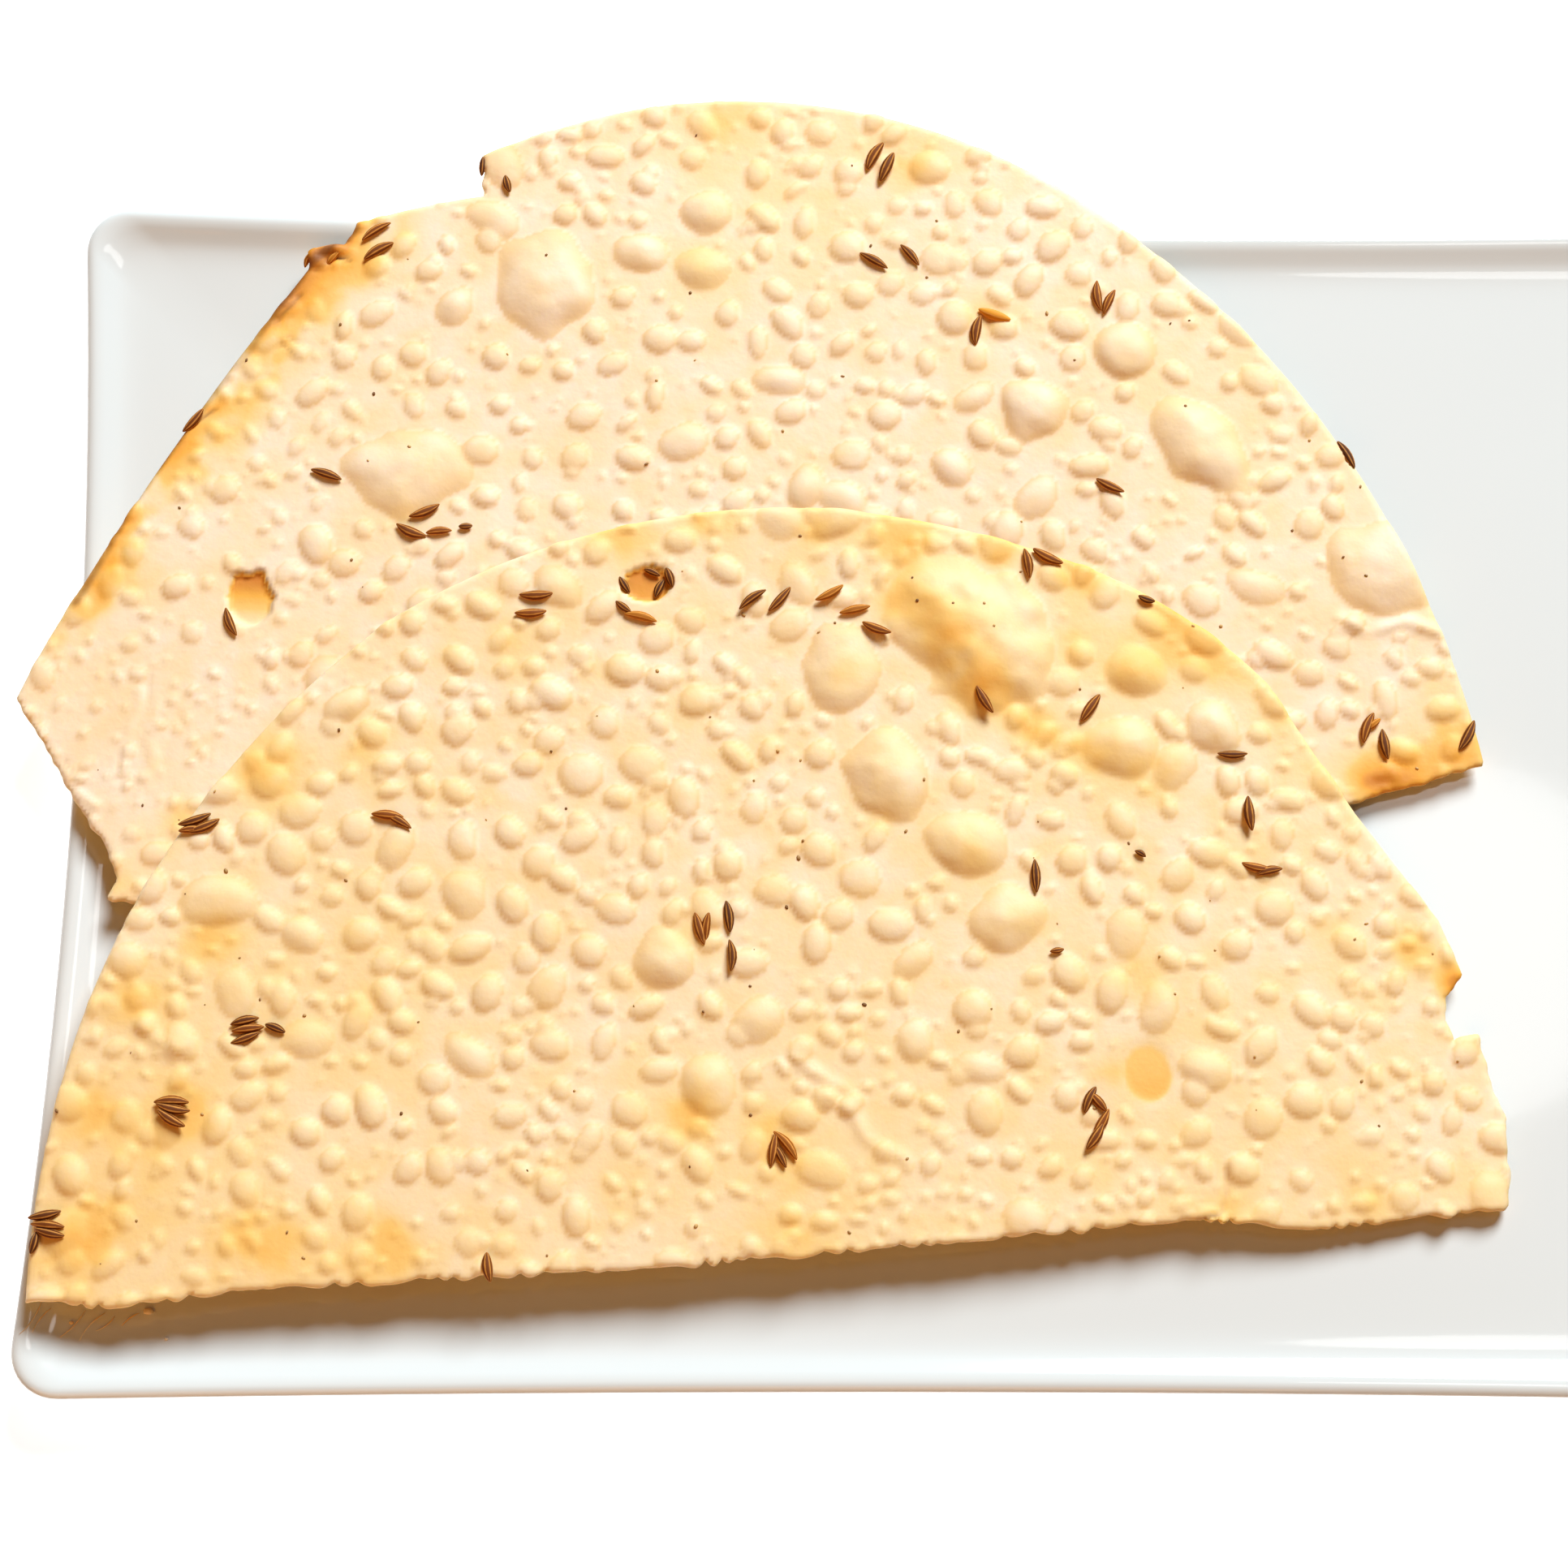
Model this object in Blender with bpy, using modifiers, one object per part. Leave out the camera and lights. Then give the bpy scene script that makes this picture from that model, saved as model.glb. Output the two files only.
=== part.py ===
"""Two blistered half-moons of papadum on a rectangular porcelain plate.

Metres, +Z up. The origin is the centre of the plate's flat foot, +X runs along the plate.
The rear half lies across the left and far rims and bends down towards the near right.
The front half lies over it and bends down to the plate's floor at the right.
"""

from math import cos, floor, hypot, pi, radians, sin
from random import Random

import bmesh
import bpy
from mathutils import Vector
from mathutils.geometry import delaunay_2d_cdt

# Plate
PLATE_LENGTH = 0.294
PLATE_WIDTH = 0.1672
PLATE_CORNER_RADIUS = 0.007
INNER_CORNER_RADIUS = 0.006
LONG_SIDE_PINCH = 0.00195   # how far the middle of each long side curves in
SHORT_SIDE_PINCH = 0.00295
CORNER_LIFT = 0.003         # the platter rises this much to the tip of each corner
FOOT_INSET = 0.034          # the foot is flat from here inwards
RIM_HEIGHT = 0.0065         # at the middle of a side
FLOOR_HEIGHT = 0.005
CORNER_STEPS = 4
LONG_SIDE_STEPS = 10
SHORT_SIDE_STEPS = 6
SHARP_ANGLE = 50            # degrees; the plate's edges are smooth below this

# Plate, from the foot up the outside, over the low lip and onto the floor: (inset, height)
PLATE_PROFILE = [
    (FOOT_INSET, 0.0000),
    (0.0320, 0.0006),
    (0.0240, 0.0011),
    (0.0140, 0.0018),
    (0.0070, 0.0027),
    (0.0030, 0.0038),
    (0.0008, 0.0050),
    (0.0000, 0.0057),
    (0.0003, 0.0062),
    (0.0011, RIM_HEIGHT),
    (0.0022, 0.00635),
    (0.0034, 0.0059),
    (0.0050, 0.00535),
    (0.0070, 0.00508),
    (0.0100, FLOOR_HEIGHT),
    (0.0170, FLOOR_HEIGHT),
    (0.0250, FLOOR_HEIGHT),
    (FOOT_INSET, FLOOR_HEIGHT),
]

# Papadum sheet
SHEET_THICKNESS = 0.001
GRID_SPACING = 0.0062       # distance between the sheet's plain points
EDGE_SPACING = 0.0045       # distance between points along the outline
EDGE_MARGIN = 0.0030        # plain points keep this far from the outline
BLISTER_MARGIN = 1.25       # and outside this many radii of a blister
BLISTER_RING = 0.62         # a large blister's inner ring, as a share of its radius
LARGE_RING_POINTS = 10
SMALL_RING_POINTS = 6
SMALL_BLISTER_COUNT = 34
SMALL_BLISTER_RADIUS = (0.0024, 0.0036)
SMALL_BLISTER_HEIGHT = 0.32  # of its radius
REAR_SEED = 3
FRONT_SEED = 8
MERGE_DISTANCE = 1e-6       # points closer than this are one point
INSIDE_ONLY = 1             # the triangulation keeps what lies inside the outline

# Outlines, clockwise from the left: (x, y, how far the run to the next point bows outwards)
REAR_OUTLINE = [
    (-0.1518, 0.0102, 0.0003),
    (-0.1437, 0.0265, 0.0009),
    (-0.1147, 0.0739, 0.0),      # small curled flap
    (-0.1154, 0.0757, 0.0),
    (-0.1097, 0.0777, 0.0),
    (-0.1081, 0.0809, 0.0004),
    (-0.0903, 0.0853, 0.0),      # step where the rim tore
    (-0.0906, 0.0916, 0.0108),
    (-0.0089, 0.0877, 0.0106),
    (0.0484, 0.0027, 0.0),
    (0.0293, -0.0031, 0.0),
    (-0.1326, -0.0184, 0.0),     # broken left side
    (-0.1377, -0.0175, 0.0),
    (-0.1365, -0.0147, 0.0),
    (-0.1384, -0.0100, 0.0),
    (-0.1432, -0.0036, 0.0),
    (-0.1464, 0.0022, 0.0),
]
FRONT_OUTLINE = [
    (-0.1442, -0.0715, 0.0122),
    (-0.1008, 0.0206, 0.0102),
    (-0.0134, 0.0320, 0.0024),
    (0.0186, 0.0135, 0.0),
    (0.0440, -0.0266, 0.0),      # broken right side
    (0.0414, -0.0323, 0.0),
    (0.0424, -0.0353, 0.0),
    (0.0458, -0.0344, 0.0),
    (0.0475, -0.0422, 0.0),
    (0.0492, -0.0536, 0.0),
    (0.0482, -0.0578, 0.0),
    (0.0223, -0.0607, 0.0),
    (0.0070, -0.0596, 0.0),
    (-0.0220, -0.0627, 0.0),
    (-0.0671, -0.0668, 0.0),
    (-0.1162, -0.0697, 0.0),
    (-0.1322, -0.0721, 0.0),
]

# Large blisters: (x, y, length, width, turn in degrees, height); a burst one is a dent
REAR_BLISTERS = [
    (-0.0813, 0.0717, 0.0158, 0.0149, 90, 0.0020),
    (-0.0997, 0.0434, 0.0169, 0.0129, 0, 0.0016),
    (-0.0123, 0.0531, 0.0095, 0.0091, 0, 0.0020),
    (0.0003, 0.0622, 0.0090, 0.0085, 0, 0.0020),
    (0.0108, 0.0484, 0.0178, 0.0107, -48, 0.0022),
    (0.0362, 0.0303, 0.0170, 0.0147, 0, 0.0018),
    (-0.0585, 0.0830, 0.0081, 0.0074, 0, 0.0015),
    (-0.0590, 0.0742, 0.0073, 0.0068, 0, 0.0014),
    (-0.0677, 0.0766, 0.0073, 0.0069, 0, 0.0014),
    (-0.1205, 0.0249, 0.0082, 0.0066, 90, -0.0007),
]
FRONT_BLISTERS = [
    (-0.0213, 0.0197, 0.0245, 0.0152, -38, 0.0030),
    (-0.0329, -0.0004, 0.0132, 0.0100, -55, 0.0024),
    (-0.0226, -0.0098, 0.0109, 0.0093, 0, 0.0020),
    (-0.0173, -0.0201, 0.0098, 0.0093, 0, 0.0018),
    (-0.0625, -0.0262, 0.0086, 0.0086, 0, 0.0018),
    (-0.0570, -0.0424, 0.0080, 0.0080, 0, 0.0018),
    (-0.0395, 0.0143, 0.0122, 0.0096, 90, 0.0017),
    (-0.1214, -0.0185, 0.0107, 0.0076, 0, 0.0016),
    (-0.0016, 0.0040, 0.0100, 0.0085, 0, 0.0019),
    (0.0008, 0.0143, 0.0089, 0.0077, 0, 0.0017),
    (0.0111, 0.0068, 0.0079, 0.0079, 0, 0.0017),
    (-0.0659, 0.0261, 0.0070, 0.0055, 0, -0.0006),
]

# How the rear half bends: level up to a fold line, then down towards the near right
REAR_LEVEL = 0.0090
REAR_FOLD_START = Vector((-0.1505, 0.008))
REAR_FOLD_NORMAL = Vector((0.413, -0.910))
REAR_FOLD_REACH = 0.0875
REAR_DROP = 0.0019
REAR_BEND_POWER = 1.6
REAR_FAR_RISE = 0.004       # slope up to the far left, where the platter is higher

# How the front half bends: down from left to right, ever steeper, and slightly up to the far side
FRONT_LEVEL = 0.0120
FRONT_LEFT = -0.145
FRONT_SPAN = 0.1935
FRONT_SLOPE_DROP = 0.0026
FRONT_BEND_DROP = 0.0036
FRONT_BEND_POWER = 5
FRONT_NEAR_EDGE = -0.063
FRONT_RISE = 0.020

GLAZED_WHITE = (0.88, 0.88, 0.86, 1.0)
REAR_BREAD = (0.86, 0.66, 0.42, 1.0)
FRONT_BREAD = (0.86, 0.61, 0.34, 1.0)
GLAZE_ROUGHNESS = 0.12
BREAD_ROUGHNESS = 0.6


def clearScene():
    for obj in list(bpy.data.objects):
        bpy.data.objects.remove(obj, do_unlink=True)


def makeMaterial(name, color, roughness):
    material = bpy.data.materials.new(name)
    material.use_nodes = True
    shader = material.node_tree.nodes["Principled BSDF"]
    shader.inputs["Base Color"].default_value = color
    shader.inputs["Roughness"].default_value = roughness
    shader.inputs["Metallic"].default_value = 0.0
    return material


def addObject(bm, name, collection, material):
    bmesh.ops.recalc_face_normals(bm, faces=bm.faces)
    mesh = bpy.data.meshes.new(name)
    bm.to_mesh(mesh)
    bm.free()
    mesh.materials.append(material)
    mesh.shade_smooth()
    obj = bpy.data.objects.new(name, mesh)
    collection.objects.link(obj)
    return obj


def plateLoop(inset, height):
    """One closed ring of the plate: a rounded rectangle whose sides curve in a little."""
    half_x = PLATE_LENGTH / 2 - inset
    half_y = PLATE_WIDTH / 2 - inset
    radius = max(PLATE_CORNER_RADIUS - inset, INNER_CORNER_RADIUS)
    corners = [(1, 1), (-1, 1), (-1, -1), (1, -1)]
    side_steps = [LONG_SIDE_STEPS, SHORT_SIDE_STEPS]
    flat = []
    for index, (sign_x, sign_y) in enumerate(corners):
        centre = Vector((sign_x * (half_x - radius), sign_y * (half_y - radius)))
        for step in range(CORNER_STEPS + 1):
            angle = (index + step / CORNER_STEPS) * pi / 2
            flat.append(centre + radius * Vector((cos(angle), sin(angle))))
        next_x, next_y = corners[(index + 1) % 4]
        angle = (index + 1) * pi / 2
        start = flat[-1]
        end = Vector((next_x * (half_x - radius), next_y * (half_y - radius)))
        end += radius * Vector((cos(angle), sin(angle)))
        steps = side_steps[index % 2]
        flat.extend(start.lerp(end, step / steps) for step in range(1, steps))
    rise = CORNER_LIFT * (1 - inset / FOOT_INSET) ** 2
    ring = []
    for point in flat:
        along = point.x / half_x
        across = point.y / half_y
        x = point.x - along * SHORT_SIDE_PINCH * (1 - across**2)
        y = point.y - across * LONG_SIDE_PINCH * (1 - along**2)
        ring.append(Vector((x, y, height + rise * (along * across) ** 2)))
    return ring


def makePlate(collection, material):
    """The ring at the foot is extruded loop by loop along the wall profile, then both ends close."""
    bm = bmesh.new()
    verts = [bm.verts.new(point) for point in plateLoop(*PLATE_PROFILE[0])]
    loop = [bm.edges.new((verts[i], verts[(i + 1) % len(verts)])) for i in range(len(verts))]
    bm.faces.new(verts)
    for inset, height in PLATE_PROFILE[1:]:
        grown = bmesh.ops.extrude_edge_only(bm, edges=loop)["geom"]
        loop = [item for item in grown if isinstance(item, bmesh.types.BMEdge)]
        verts = [item for item in grown if isinstance(item, bmesh.types.BMVert)]
        for vert, point in zip(verts, plateLoop(inset, height)):
            vert.co = point
    bmesh.ops.contextual_create(bm, geom=loop)
    obj = addObject(bm, "plate", collection, material)
    obj.data.set_sharp_from_angle(angle=radians(SHARP_ANGLE))
    return obj


def bowedRun(start, end, bow):
    """Points from start up to end, on an arc that bows out by the given height."""
    chord = end - start
    steps = max(1, round(chord.length / EDGE_SPACING))
    outward = Vector((-chord.y, chord.x)).normalized()
    points = []
    for step in range(steps):
        t = step / steps
        points.append(start + chord * t + outward * bow * 4 * t * (1 - t))
    return points


def sheetOutline(corners):
    outline = []
    for index, (x, y, bow) in enumerate(corners):
        next_x, next_y, _ = corners[(index + 1) % len(corners)]
        outline.extend(bowedRun(Vector((x, y)), Vector((next_x, next_y)), bow))
    return outline


def isInside(point, outline):
    inside = False
    for index, a in enumerate(outline):
        b = outline[index - 1]
        if (a.y > point.y) != (b.y > point.y):
            if point.x < (b.x - a.x) * (point.y - a.y) / (b.y - a.y) + a.x:
                inside = not inside
    return inside


def edgeDistance(point, outline):
    return min((point - corner).length for corner in outline)


def blisterShare(point, blister):
    """0 at the blister's centre and 1 on its rim."""
    x, y, length, width, turn, _ = blister
    dx = point.x - x
    dy = point.y - y
    angle = radians(turn)
    along = dx * cos(angle) + dy * sin(angle)
    across = dy * cos(angle) - dx * sin(angle)
    return hypot(along / (length / 2), across / (width / 2))


def scatterBlisters(outline, covered, large, seed):
    """Small round blisters in the space that the large ones leave, none under another sheet."""
    random = Random(seed)
    xs = [point.x for point in outline]
    ys = [point.y for point in outline]
    blisters = list(large)
    while len(blisters) < len(large) + SMALL_BLISTER_COUNT:
        point = Vector((random.uniform(min(xs), max(xs)), random.uniform(min(ys), max(ys))))
        radius = random.uniform(*SMALL_BLISTER_RADIUS)
        clear = radius + EDGE_MARGIN
        if not isInside(point, outline) or edgeDistance(point, outline) < clear:
            continue
        if covered and isInside(point, covered):
            continue
        if any(hypot(point.x - b[0], point.y - b[1]) < clear + b[2] / 2 for b in blisters):
            continue
        size = 2 * radius
        blisters.append((point.x, point.y, size, size, 0, radius * SMALL_BLISTER_HEIGHT))
    return blisters


def blisterPoints(blister):
    """The centre, an inner ring and the rim of one blister."""
    x, y, length, width, turn, _ = blister
    angle = radians(turn)
    is_large = length > 2 * SMALL_BLISTER_RADIUS[1]
    count = LARGE_RING_POINTS if is_large else SMALL_RING_POINTS
    rings = (BLISTER_RING, 1.0) if is_large else (1.0,)
    points = [Vector((x, y))]
    for ring in rings:
        for step in range(count):
            theta = 2 * pi * (step + ring) / count
            along = ring * length / 2 * cos(theta)
            across = ring * width / 2 * sin(theta)
            points.append(Vector((
                x + along * cos(angle) - across * sin(angle),
                y + along * sin(angle) + across * cos(angle),
            )))
    return points


def plainPoints(outline, blisters):
    """A staggered grid over the sheet, left out on the blisters and along the outline."""
    xs = [point.x for point in outline]
    ys = [point.y for point in outline]
    row_height = GRID_SPACING * sin(pi / 3)
    columns = floor((max(xs) - min(xs)) / GRID_SPACING)
    rows = floor((max(ys) - min(ys)) / row_height)
    points = []
    for row in range(rows + 1):
        for column in range(columns + 1):
            shift = 0.5 * (row % 2)
            point = Vector((min(xs) + (column + shift) * GRID_SPACING, min(ys) + row * row_height))
            if not isInside(point, outline) or edgeDistance(point, outline) < EDGE_MARGIN:
                continue
            if all(blisterShare(point, blister) > BLISTER_MARGIN for blister in blisters):
                points.append(point)
    return points


def rearBend(x, y):
    beyond = (Vector((x, y)) - REAR_FOLD_START).dot(REAR_FOLD_NORMAL)
    if beyond < 0:
        return REAR_LEVEL - REAR_FAR_RISE * beyond
    return REAR_LEVEL - REAR_DROP * (beyond / REAR_FOLD_REACH) ** REAR_BEND_POWER


def frontBend(x, y):
    along = max(0.0, (x - FRONT_LEFT) / FRONT_SPAN)
    drop = FRONT_SLOPE_DROP * along + FRONT_BEND_DROP * along**FRONT_BEND_POWER
    return FRONT_LEVEL - drop + FRONT_RISE * (y - FRONT_NEAR_EDGE)


def makeSheet(name, outline, blisters, bend, collection, material):
    """A flat triangulated half-moon, raised to its bend and blisters, with a solid thickness."""
    points = list(outline)
    for blister in blisters:
        points.extend(p for p in blisterPoints(blister) if isInside(p, outline))
    points.extend(plainPoints(outline, blisters))
    border = [(i, (i + 1) % len(outline)) for i in range(len(outline))]
    flat, _, triangles, *_ = delaunay_2d_cdt(points, border, [], INSIDE_ONLY, MERGE_DISTANCE)

    bm = bmesh.new()
    verts = []
    for point in flat:
        height = bend(point.x, point.y)
        for blister in blisters:
            height += blister[5] * max(0.0, 1 - blisterShare(point, blister) ** 2)
        verts.append(bm.verts.new((point.x, point.y, height)))
    for triangle in triangles:
        bm.faces.new([verts[i] for i in triangle])
    obj = addObject(bm, name, collection, material)
    if obj.data.polygons[0].normal.z < 0:
        obj.data.flip_normals()
    thickness = obj.modifiers.new("Thickness", "SOLIDIFY")
    thickness.thickness = SHEET_THICKNESS
    thickness.offset = 0.0
    return obj


def main():
    clearScene()
    collection = bpy.data.collections.new("papadum_on_plate")
    bpy.context.scene.collection.children.link(collection)
    glaze = makeMaterial("glazed_porcelain", GLAZED_WHITE, GLAZE_ROUGHNESS)
    rear_bread = makeMaterial("rear_papadum", REAR_BREAD, BREAD_ROUGHNESS)
    front_bread = makeMaterial("front_papadum", FRONT_BREAD, BREAD_ROUGHNESS)
    makePlate(collection, glaze)
    rear = sheetOutline(REAR_OUTLINE)
    front = sheetOutline(FRONT_OUTLINE)
    rear_blisters = scatterBlisters(rear, front, REAR_BLISTERS, REAR_SEED)
    front_blisters = scatterBlisters(front, None, FRONT_BLISTERS, FRONT_SEED)
    makeSheet("papadum_rear_half", rear, rear_blisters, rearBend, collection, rear_bread)
    makeSheet("papadum_front_half", front, front_blisters, frontBend, collection, front_bread)


main()
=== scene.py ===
from bisect import bisect
from math import ceil, cos, hypot, pi, radians, sin
from random import Random

import bmesh
import bpy
import numpy as np
from mathutils import Matrix, Vector, noise
from mathutils.bvhtree import BVHTree
from mathutils.kdtree import KDTree


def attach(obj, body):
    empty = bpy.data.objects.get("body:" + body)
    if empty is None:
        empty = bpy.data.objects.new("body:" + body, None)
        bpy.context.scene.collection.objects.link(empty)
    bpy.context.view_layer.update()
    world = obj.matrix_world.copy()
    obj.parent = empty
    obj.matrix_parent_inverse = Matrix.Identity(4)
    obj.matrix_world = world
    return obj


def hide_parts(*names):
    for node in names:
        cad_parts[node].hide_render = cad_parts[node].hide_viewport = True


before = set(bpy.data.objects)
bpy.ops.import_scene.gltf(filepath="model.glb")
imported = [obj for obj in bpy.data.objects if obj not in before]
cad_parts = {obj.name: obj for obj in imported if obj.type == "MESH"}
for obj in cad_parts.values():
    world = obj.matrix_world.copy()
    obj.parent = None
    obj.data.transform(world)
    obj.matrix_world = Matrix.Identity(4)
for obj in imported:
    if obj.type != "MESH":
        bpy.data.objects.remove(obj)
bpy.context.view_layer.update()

# Shapes are worked out in millimetres and scaled to metres when a piece is finished.
mm = 0.001


# small helpers for shapes

def finishPiece(bm, name, material, replaced=()):
    # scales to metres, makes the object and ties it to the frame
    bmesh.ops.scale(bm, vec=(mm, mm, mm), verts=bm.verts)
    mesh = bpy.data.meshes.new(name)
    bm.to_mesh(mesh)
    bm.free()
    mesh.materials.append(material)
    mesh.shade_smooth()
    obj = bpy.data.objects.new(name, mesh)
    bpy.context.scene.collection.objects.link(obj)
    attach(obj, "root")
    if replaced:
        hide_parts(*replaced)
    return obj


def toFlat(points):
    return np.array([point.x for point in points]), np.array([point.y for point in points])


def newMesh(*layers):
    # an empty bmesh that keeps a number of each of these names at every point
    bm = bmesh.new()
    for name in layers:
        bm.verts.layers.float.new(name)
    return bm


def newVerts(result):
    return [item for item in result["geom"] if isinstance(item, bmesh.types.BMVert)]


def smoothStep(low, high, value):
    share = np.clip((value - low) / (high - low), 0.0, 1.0)
    return share * share * (3 - 2 * share)


def wavy(xs, ys, size, layer):
    # smooth noise from -1 to 1 with waves of about that size, another pattern for each layer
    return np.array([noise.noise(Vector((x / size, y / size, layer))) for x, y in zip(xs, ys)])


# small helpers for materials

class Signal:
    # a socket whose arithmetic adds Math nodes
    def __init__(self, finish, socket):
        self.finish = finish
        self.socket = socket

    def combine(self, operation, first, second):
        return self.finish.node("ShaderNodeMath", {"operation": operation}, {0: first, 1: second})

    def __add__(self, other):
        return self.combine("ADD", self, other)

    def __radd__(self, other):
        return self.combine("ADD", other, self)

    def __sub__(self, other):
        return self.combine("SUBTRACT", self, other)

    def __rsub__(self, other):
        return self.combine("SUBTRACT", other, self)

    def __mul__(self, other):
        return self.combine("MULTIPLY", self, other)

    def __rmul__(self, other):
        return self.combine("MULTIPLY", other, self)

    def __pow__(self, other):
        return self.combine("POWER", self, other)


class Finish:
    # a new material with one Principled shader
    def __init__(self, name):
        self.material = bpy.data.materials.new(name)
        self.material.use_nodes = True
        self.tree = self.material.node_tree
        self.shader = self.tree.nodes["Principled BSDF"]

    def node(self, kind, settings=None, inputs=None, output=0):
        # settings go in first, then the values or links of the sockets
        made = self.tree.nodes.new(kind)
        for key, value in (settings or {}).items():
            if key == "stops":
                ramp = made.color_ramp
                while len(ramp.elements) < len(value):
                    ramp.elements.new(1.0)
                for element, (position, color) in zip(ramp.elements, value):
                    element.position = position
                    element.color = color
            else:
                setattr(made, key, value)
        for key, value in (inputs or {}).items():
            self.feed(made.inputs[key], value)
        return Signal(self, made.outputs[output])

    def feed(self, socket, value):
        if isinstance(value, Signal):
            self.tree.links.new(value.socket, socket)
        else:
            socket.default_value = value

    def set(self, **values):
        # shader sockets, named without spaces
        for socket in self.shader.inputs:
            key = socket.name.replace(" ", "")
            key = key[:1].lower() + key[1:]
            if key in values:
                self.feed(socket, values[key])

    def coords(self):
        return self.node("ShaderNodeTexCoord", output="Object")

    def attribute(self, name):
        return self.node("ShaderNodeAttribute", {"attribute_name": name}, output="Fac")

    def noise(self, coords, scale, detail=2.0, roughness=0.5):
        sockets = {"Vector": coords, "Scale": scale, "Detail": detail, "Roughness": roughness}
        return self.node("ShaderNodeTexNoise", None, sockets)

    def mixColor(self, factor, first, second, blend="MIX"):
        settings = {"data_type": "RGBA", "blend_type": blend, "clamp_factor": True}
        return self.node("ShaderNodeMix", settings, {0: factor, 6: first, 7: second}, output=2)

    def ramp(self, factor, stops):
        return self.node("ShaderNodeValToRGB", {"stops": stops}, {"Fac": factor})

    def span(self, value, low, high):
        # 0 at low, 1 at high, clamped
        settings = {"clamp": True, "interpolation_type": "LINEAR"}
        sockets = {"Value": value, "From Min": low, "From Max": high}
        return self.node("ShaderNodeMapRange", settings, sockets)

    def bump(self, height, distance, strength=1.0, normal=None):
        sockets = {"Height": height, "Distance": distance, "Strength": strength}
        if normal:
            sockets["Normal"] = normal
        return self.node("ShaderNodeBump", None, sockets)


def tone(red, green, blue):
    # a screen colour of 0 to 255 as the linear colour that nodes take
    linear = []
    for value in (red, green, blue):
        share = value / 255
        linear.append(share / 12.92 if share <= 0.04045 else ((share + 0.055) / 1.055) ** 2.4)
    return (*linear, 1.0)


cameraSettings = {
    "frameSize": 1932,              # pixels; the places given in pixels below are in this frame
    "focalPixels": 3833,
    "elevation": 75.0,              # degrees above the table
    "target": (-47.0, -2.8, 16.0),
    "distance": 414.4,
    "roll": 0.34,                   # degrees
    "sensorWidth": 36.0,
    "clip": (0.01, 20.0),           # metres
    "firstLevel": 10.0,             # where the search for a spot on a surface starts
    "searchRounds": 8,
}


def cameraAxes():
    # right, up and forward in the world
    tilt = radians(cameraSettings["elevation"])
    roll = radians(cameraSettings["roll"])
    forward = Vector((0, cos(tilt), -sin(tilt)))
    levelRight = Vector((1, 0, 0))
    levelUp = Vector((0, sin(tilt), cos(tilt)))
    right = cos(roll) * levelRight + sin(roll) * levelUp
    up = cos(roll) * levelUp - sin(roll) * levelRight
    return right, up, forward


def cameraPlace():
    return Vector(cameraSettings["target"]) - cameraSettings["distance"] * cameraAxes()[2]


def rayThrough(pixelX, pixelY):
    right, up, forward = cameraAxes()
    centre = cameraSettings["frameSize"] / 2
    ray = forward * cameraSettings["focalPixels"]
    ray += right * (pixelX - centre) - up * (pixelY - centre)
    return ray.normalized()


def spotOn(pixelX, pixelY, height):
    # where the ray through a pixel meets the surface with that height(x, y)
    start = cameraPlace()
    ray = rayThrough(pixelX, pixelY)
    level = cameraSettings["firstLevel"]
    for _ in range(cameraSettings["searchRounds"]):
        spot = start + ray * ((level - start.z) / ray.z)
        level = height(spot.x, spot.y)
    return spot


def addCamera():
    right, up, forward = cameraAxes()
    data = bpy.data.cameras.new("camera")
    data.sensor_width = cameraSettings["sensorWidth"]
    data.lens = data.sensor_width * cameraSettings["focalPixels"] / cameraSettings["frameSize"]
    data.clip_start, data.clip_end = cameraSettings["clip"]
    camera = bpy.data.objects.new("camera", data)
    turn = Matrix((right, up, -forward)).transposed().to_4x4()
    camera.matrix_world = Matrix.Translation(cameraPlace() * mm) @ turn
    bpy.context.scene.collection.objects.link(camera)
    bpy.context.scene.camera = camera


addCamera()
print("camera placed")


studio = {
    "floorSize": 6.0,
    "floorColor": tone(250, 250, 250),
    "floorShade": tone(243, 243, 243),
    "floorGrain": 40.0,             # patterns per metre
    "glowColor": (0.86, 0.94, 1.0, 1.0),
    "floorGlow": 0.80,              # a lit table, so the floor stays pale in the shadows
    "ambient": 0.04,
    "ambientColor": (1.0, 0.985, 0.965, 1.0),
    "aim": (-0.04, 0.0, 0.0),
    "lights": [                     # (name, direction, distance, disc size, watts, color)
        ("keyLight", (0.45, 1.0, 0.92), 2.6, 1.2, 117.0, (0.81, 0.915, 0.955)),
        ("warmFill", (-0.35, -1.0, 0.75), 1.5, 1.5, 9.5, (1.0, 0.44, 0.06)),
        ("gleam", (0.293, 0.183, 0.956), 1.0, 0.16, 0.2, (1.0, 1.0, 1.0)),
    ],
}


def floorMaterial():
    finish = Finish("pale_floor")
    coords = finish.coords()
    grain = finish.noise(coords, studio["floorGrain"], 3.0)
    finish.set(baseColor=finish.mixColor(grain, studio["floorColor"], studio["floorShade"]))
    finish.set(roughness=0.9, specularIORLevel=0.1)
    finish.set(emissionColor=studio["glowColor"], emissionStrength=studio["floorGlow"])
    return finish.material


def addFloor():
    bm = bmesh.new()
    bmesh.ops.create_grid(bm, x_segments=1, y_segments=1, size=studio["floorSize"] / 2)
    mesh = bpy.data.meshes.new("studioFloor")
    bm.to_mesh(mesh)
    bm.free()
    mesh.materials.append(floorMaterial())
    floor = bpy.data.objects.new("studioFloor", mesh)
    bpy.context.scene.collection.objects.link(floor)


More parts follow.
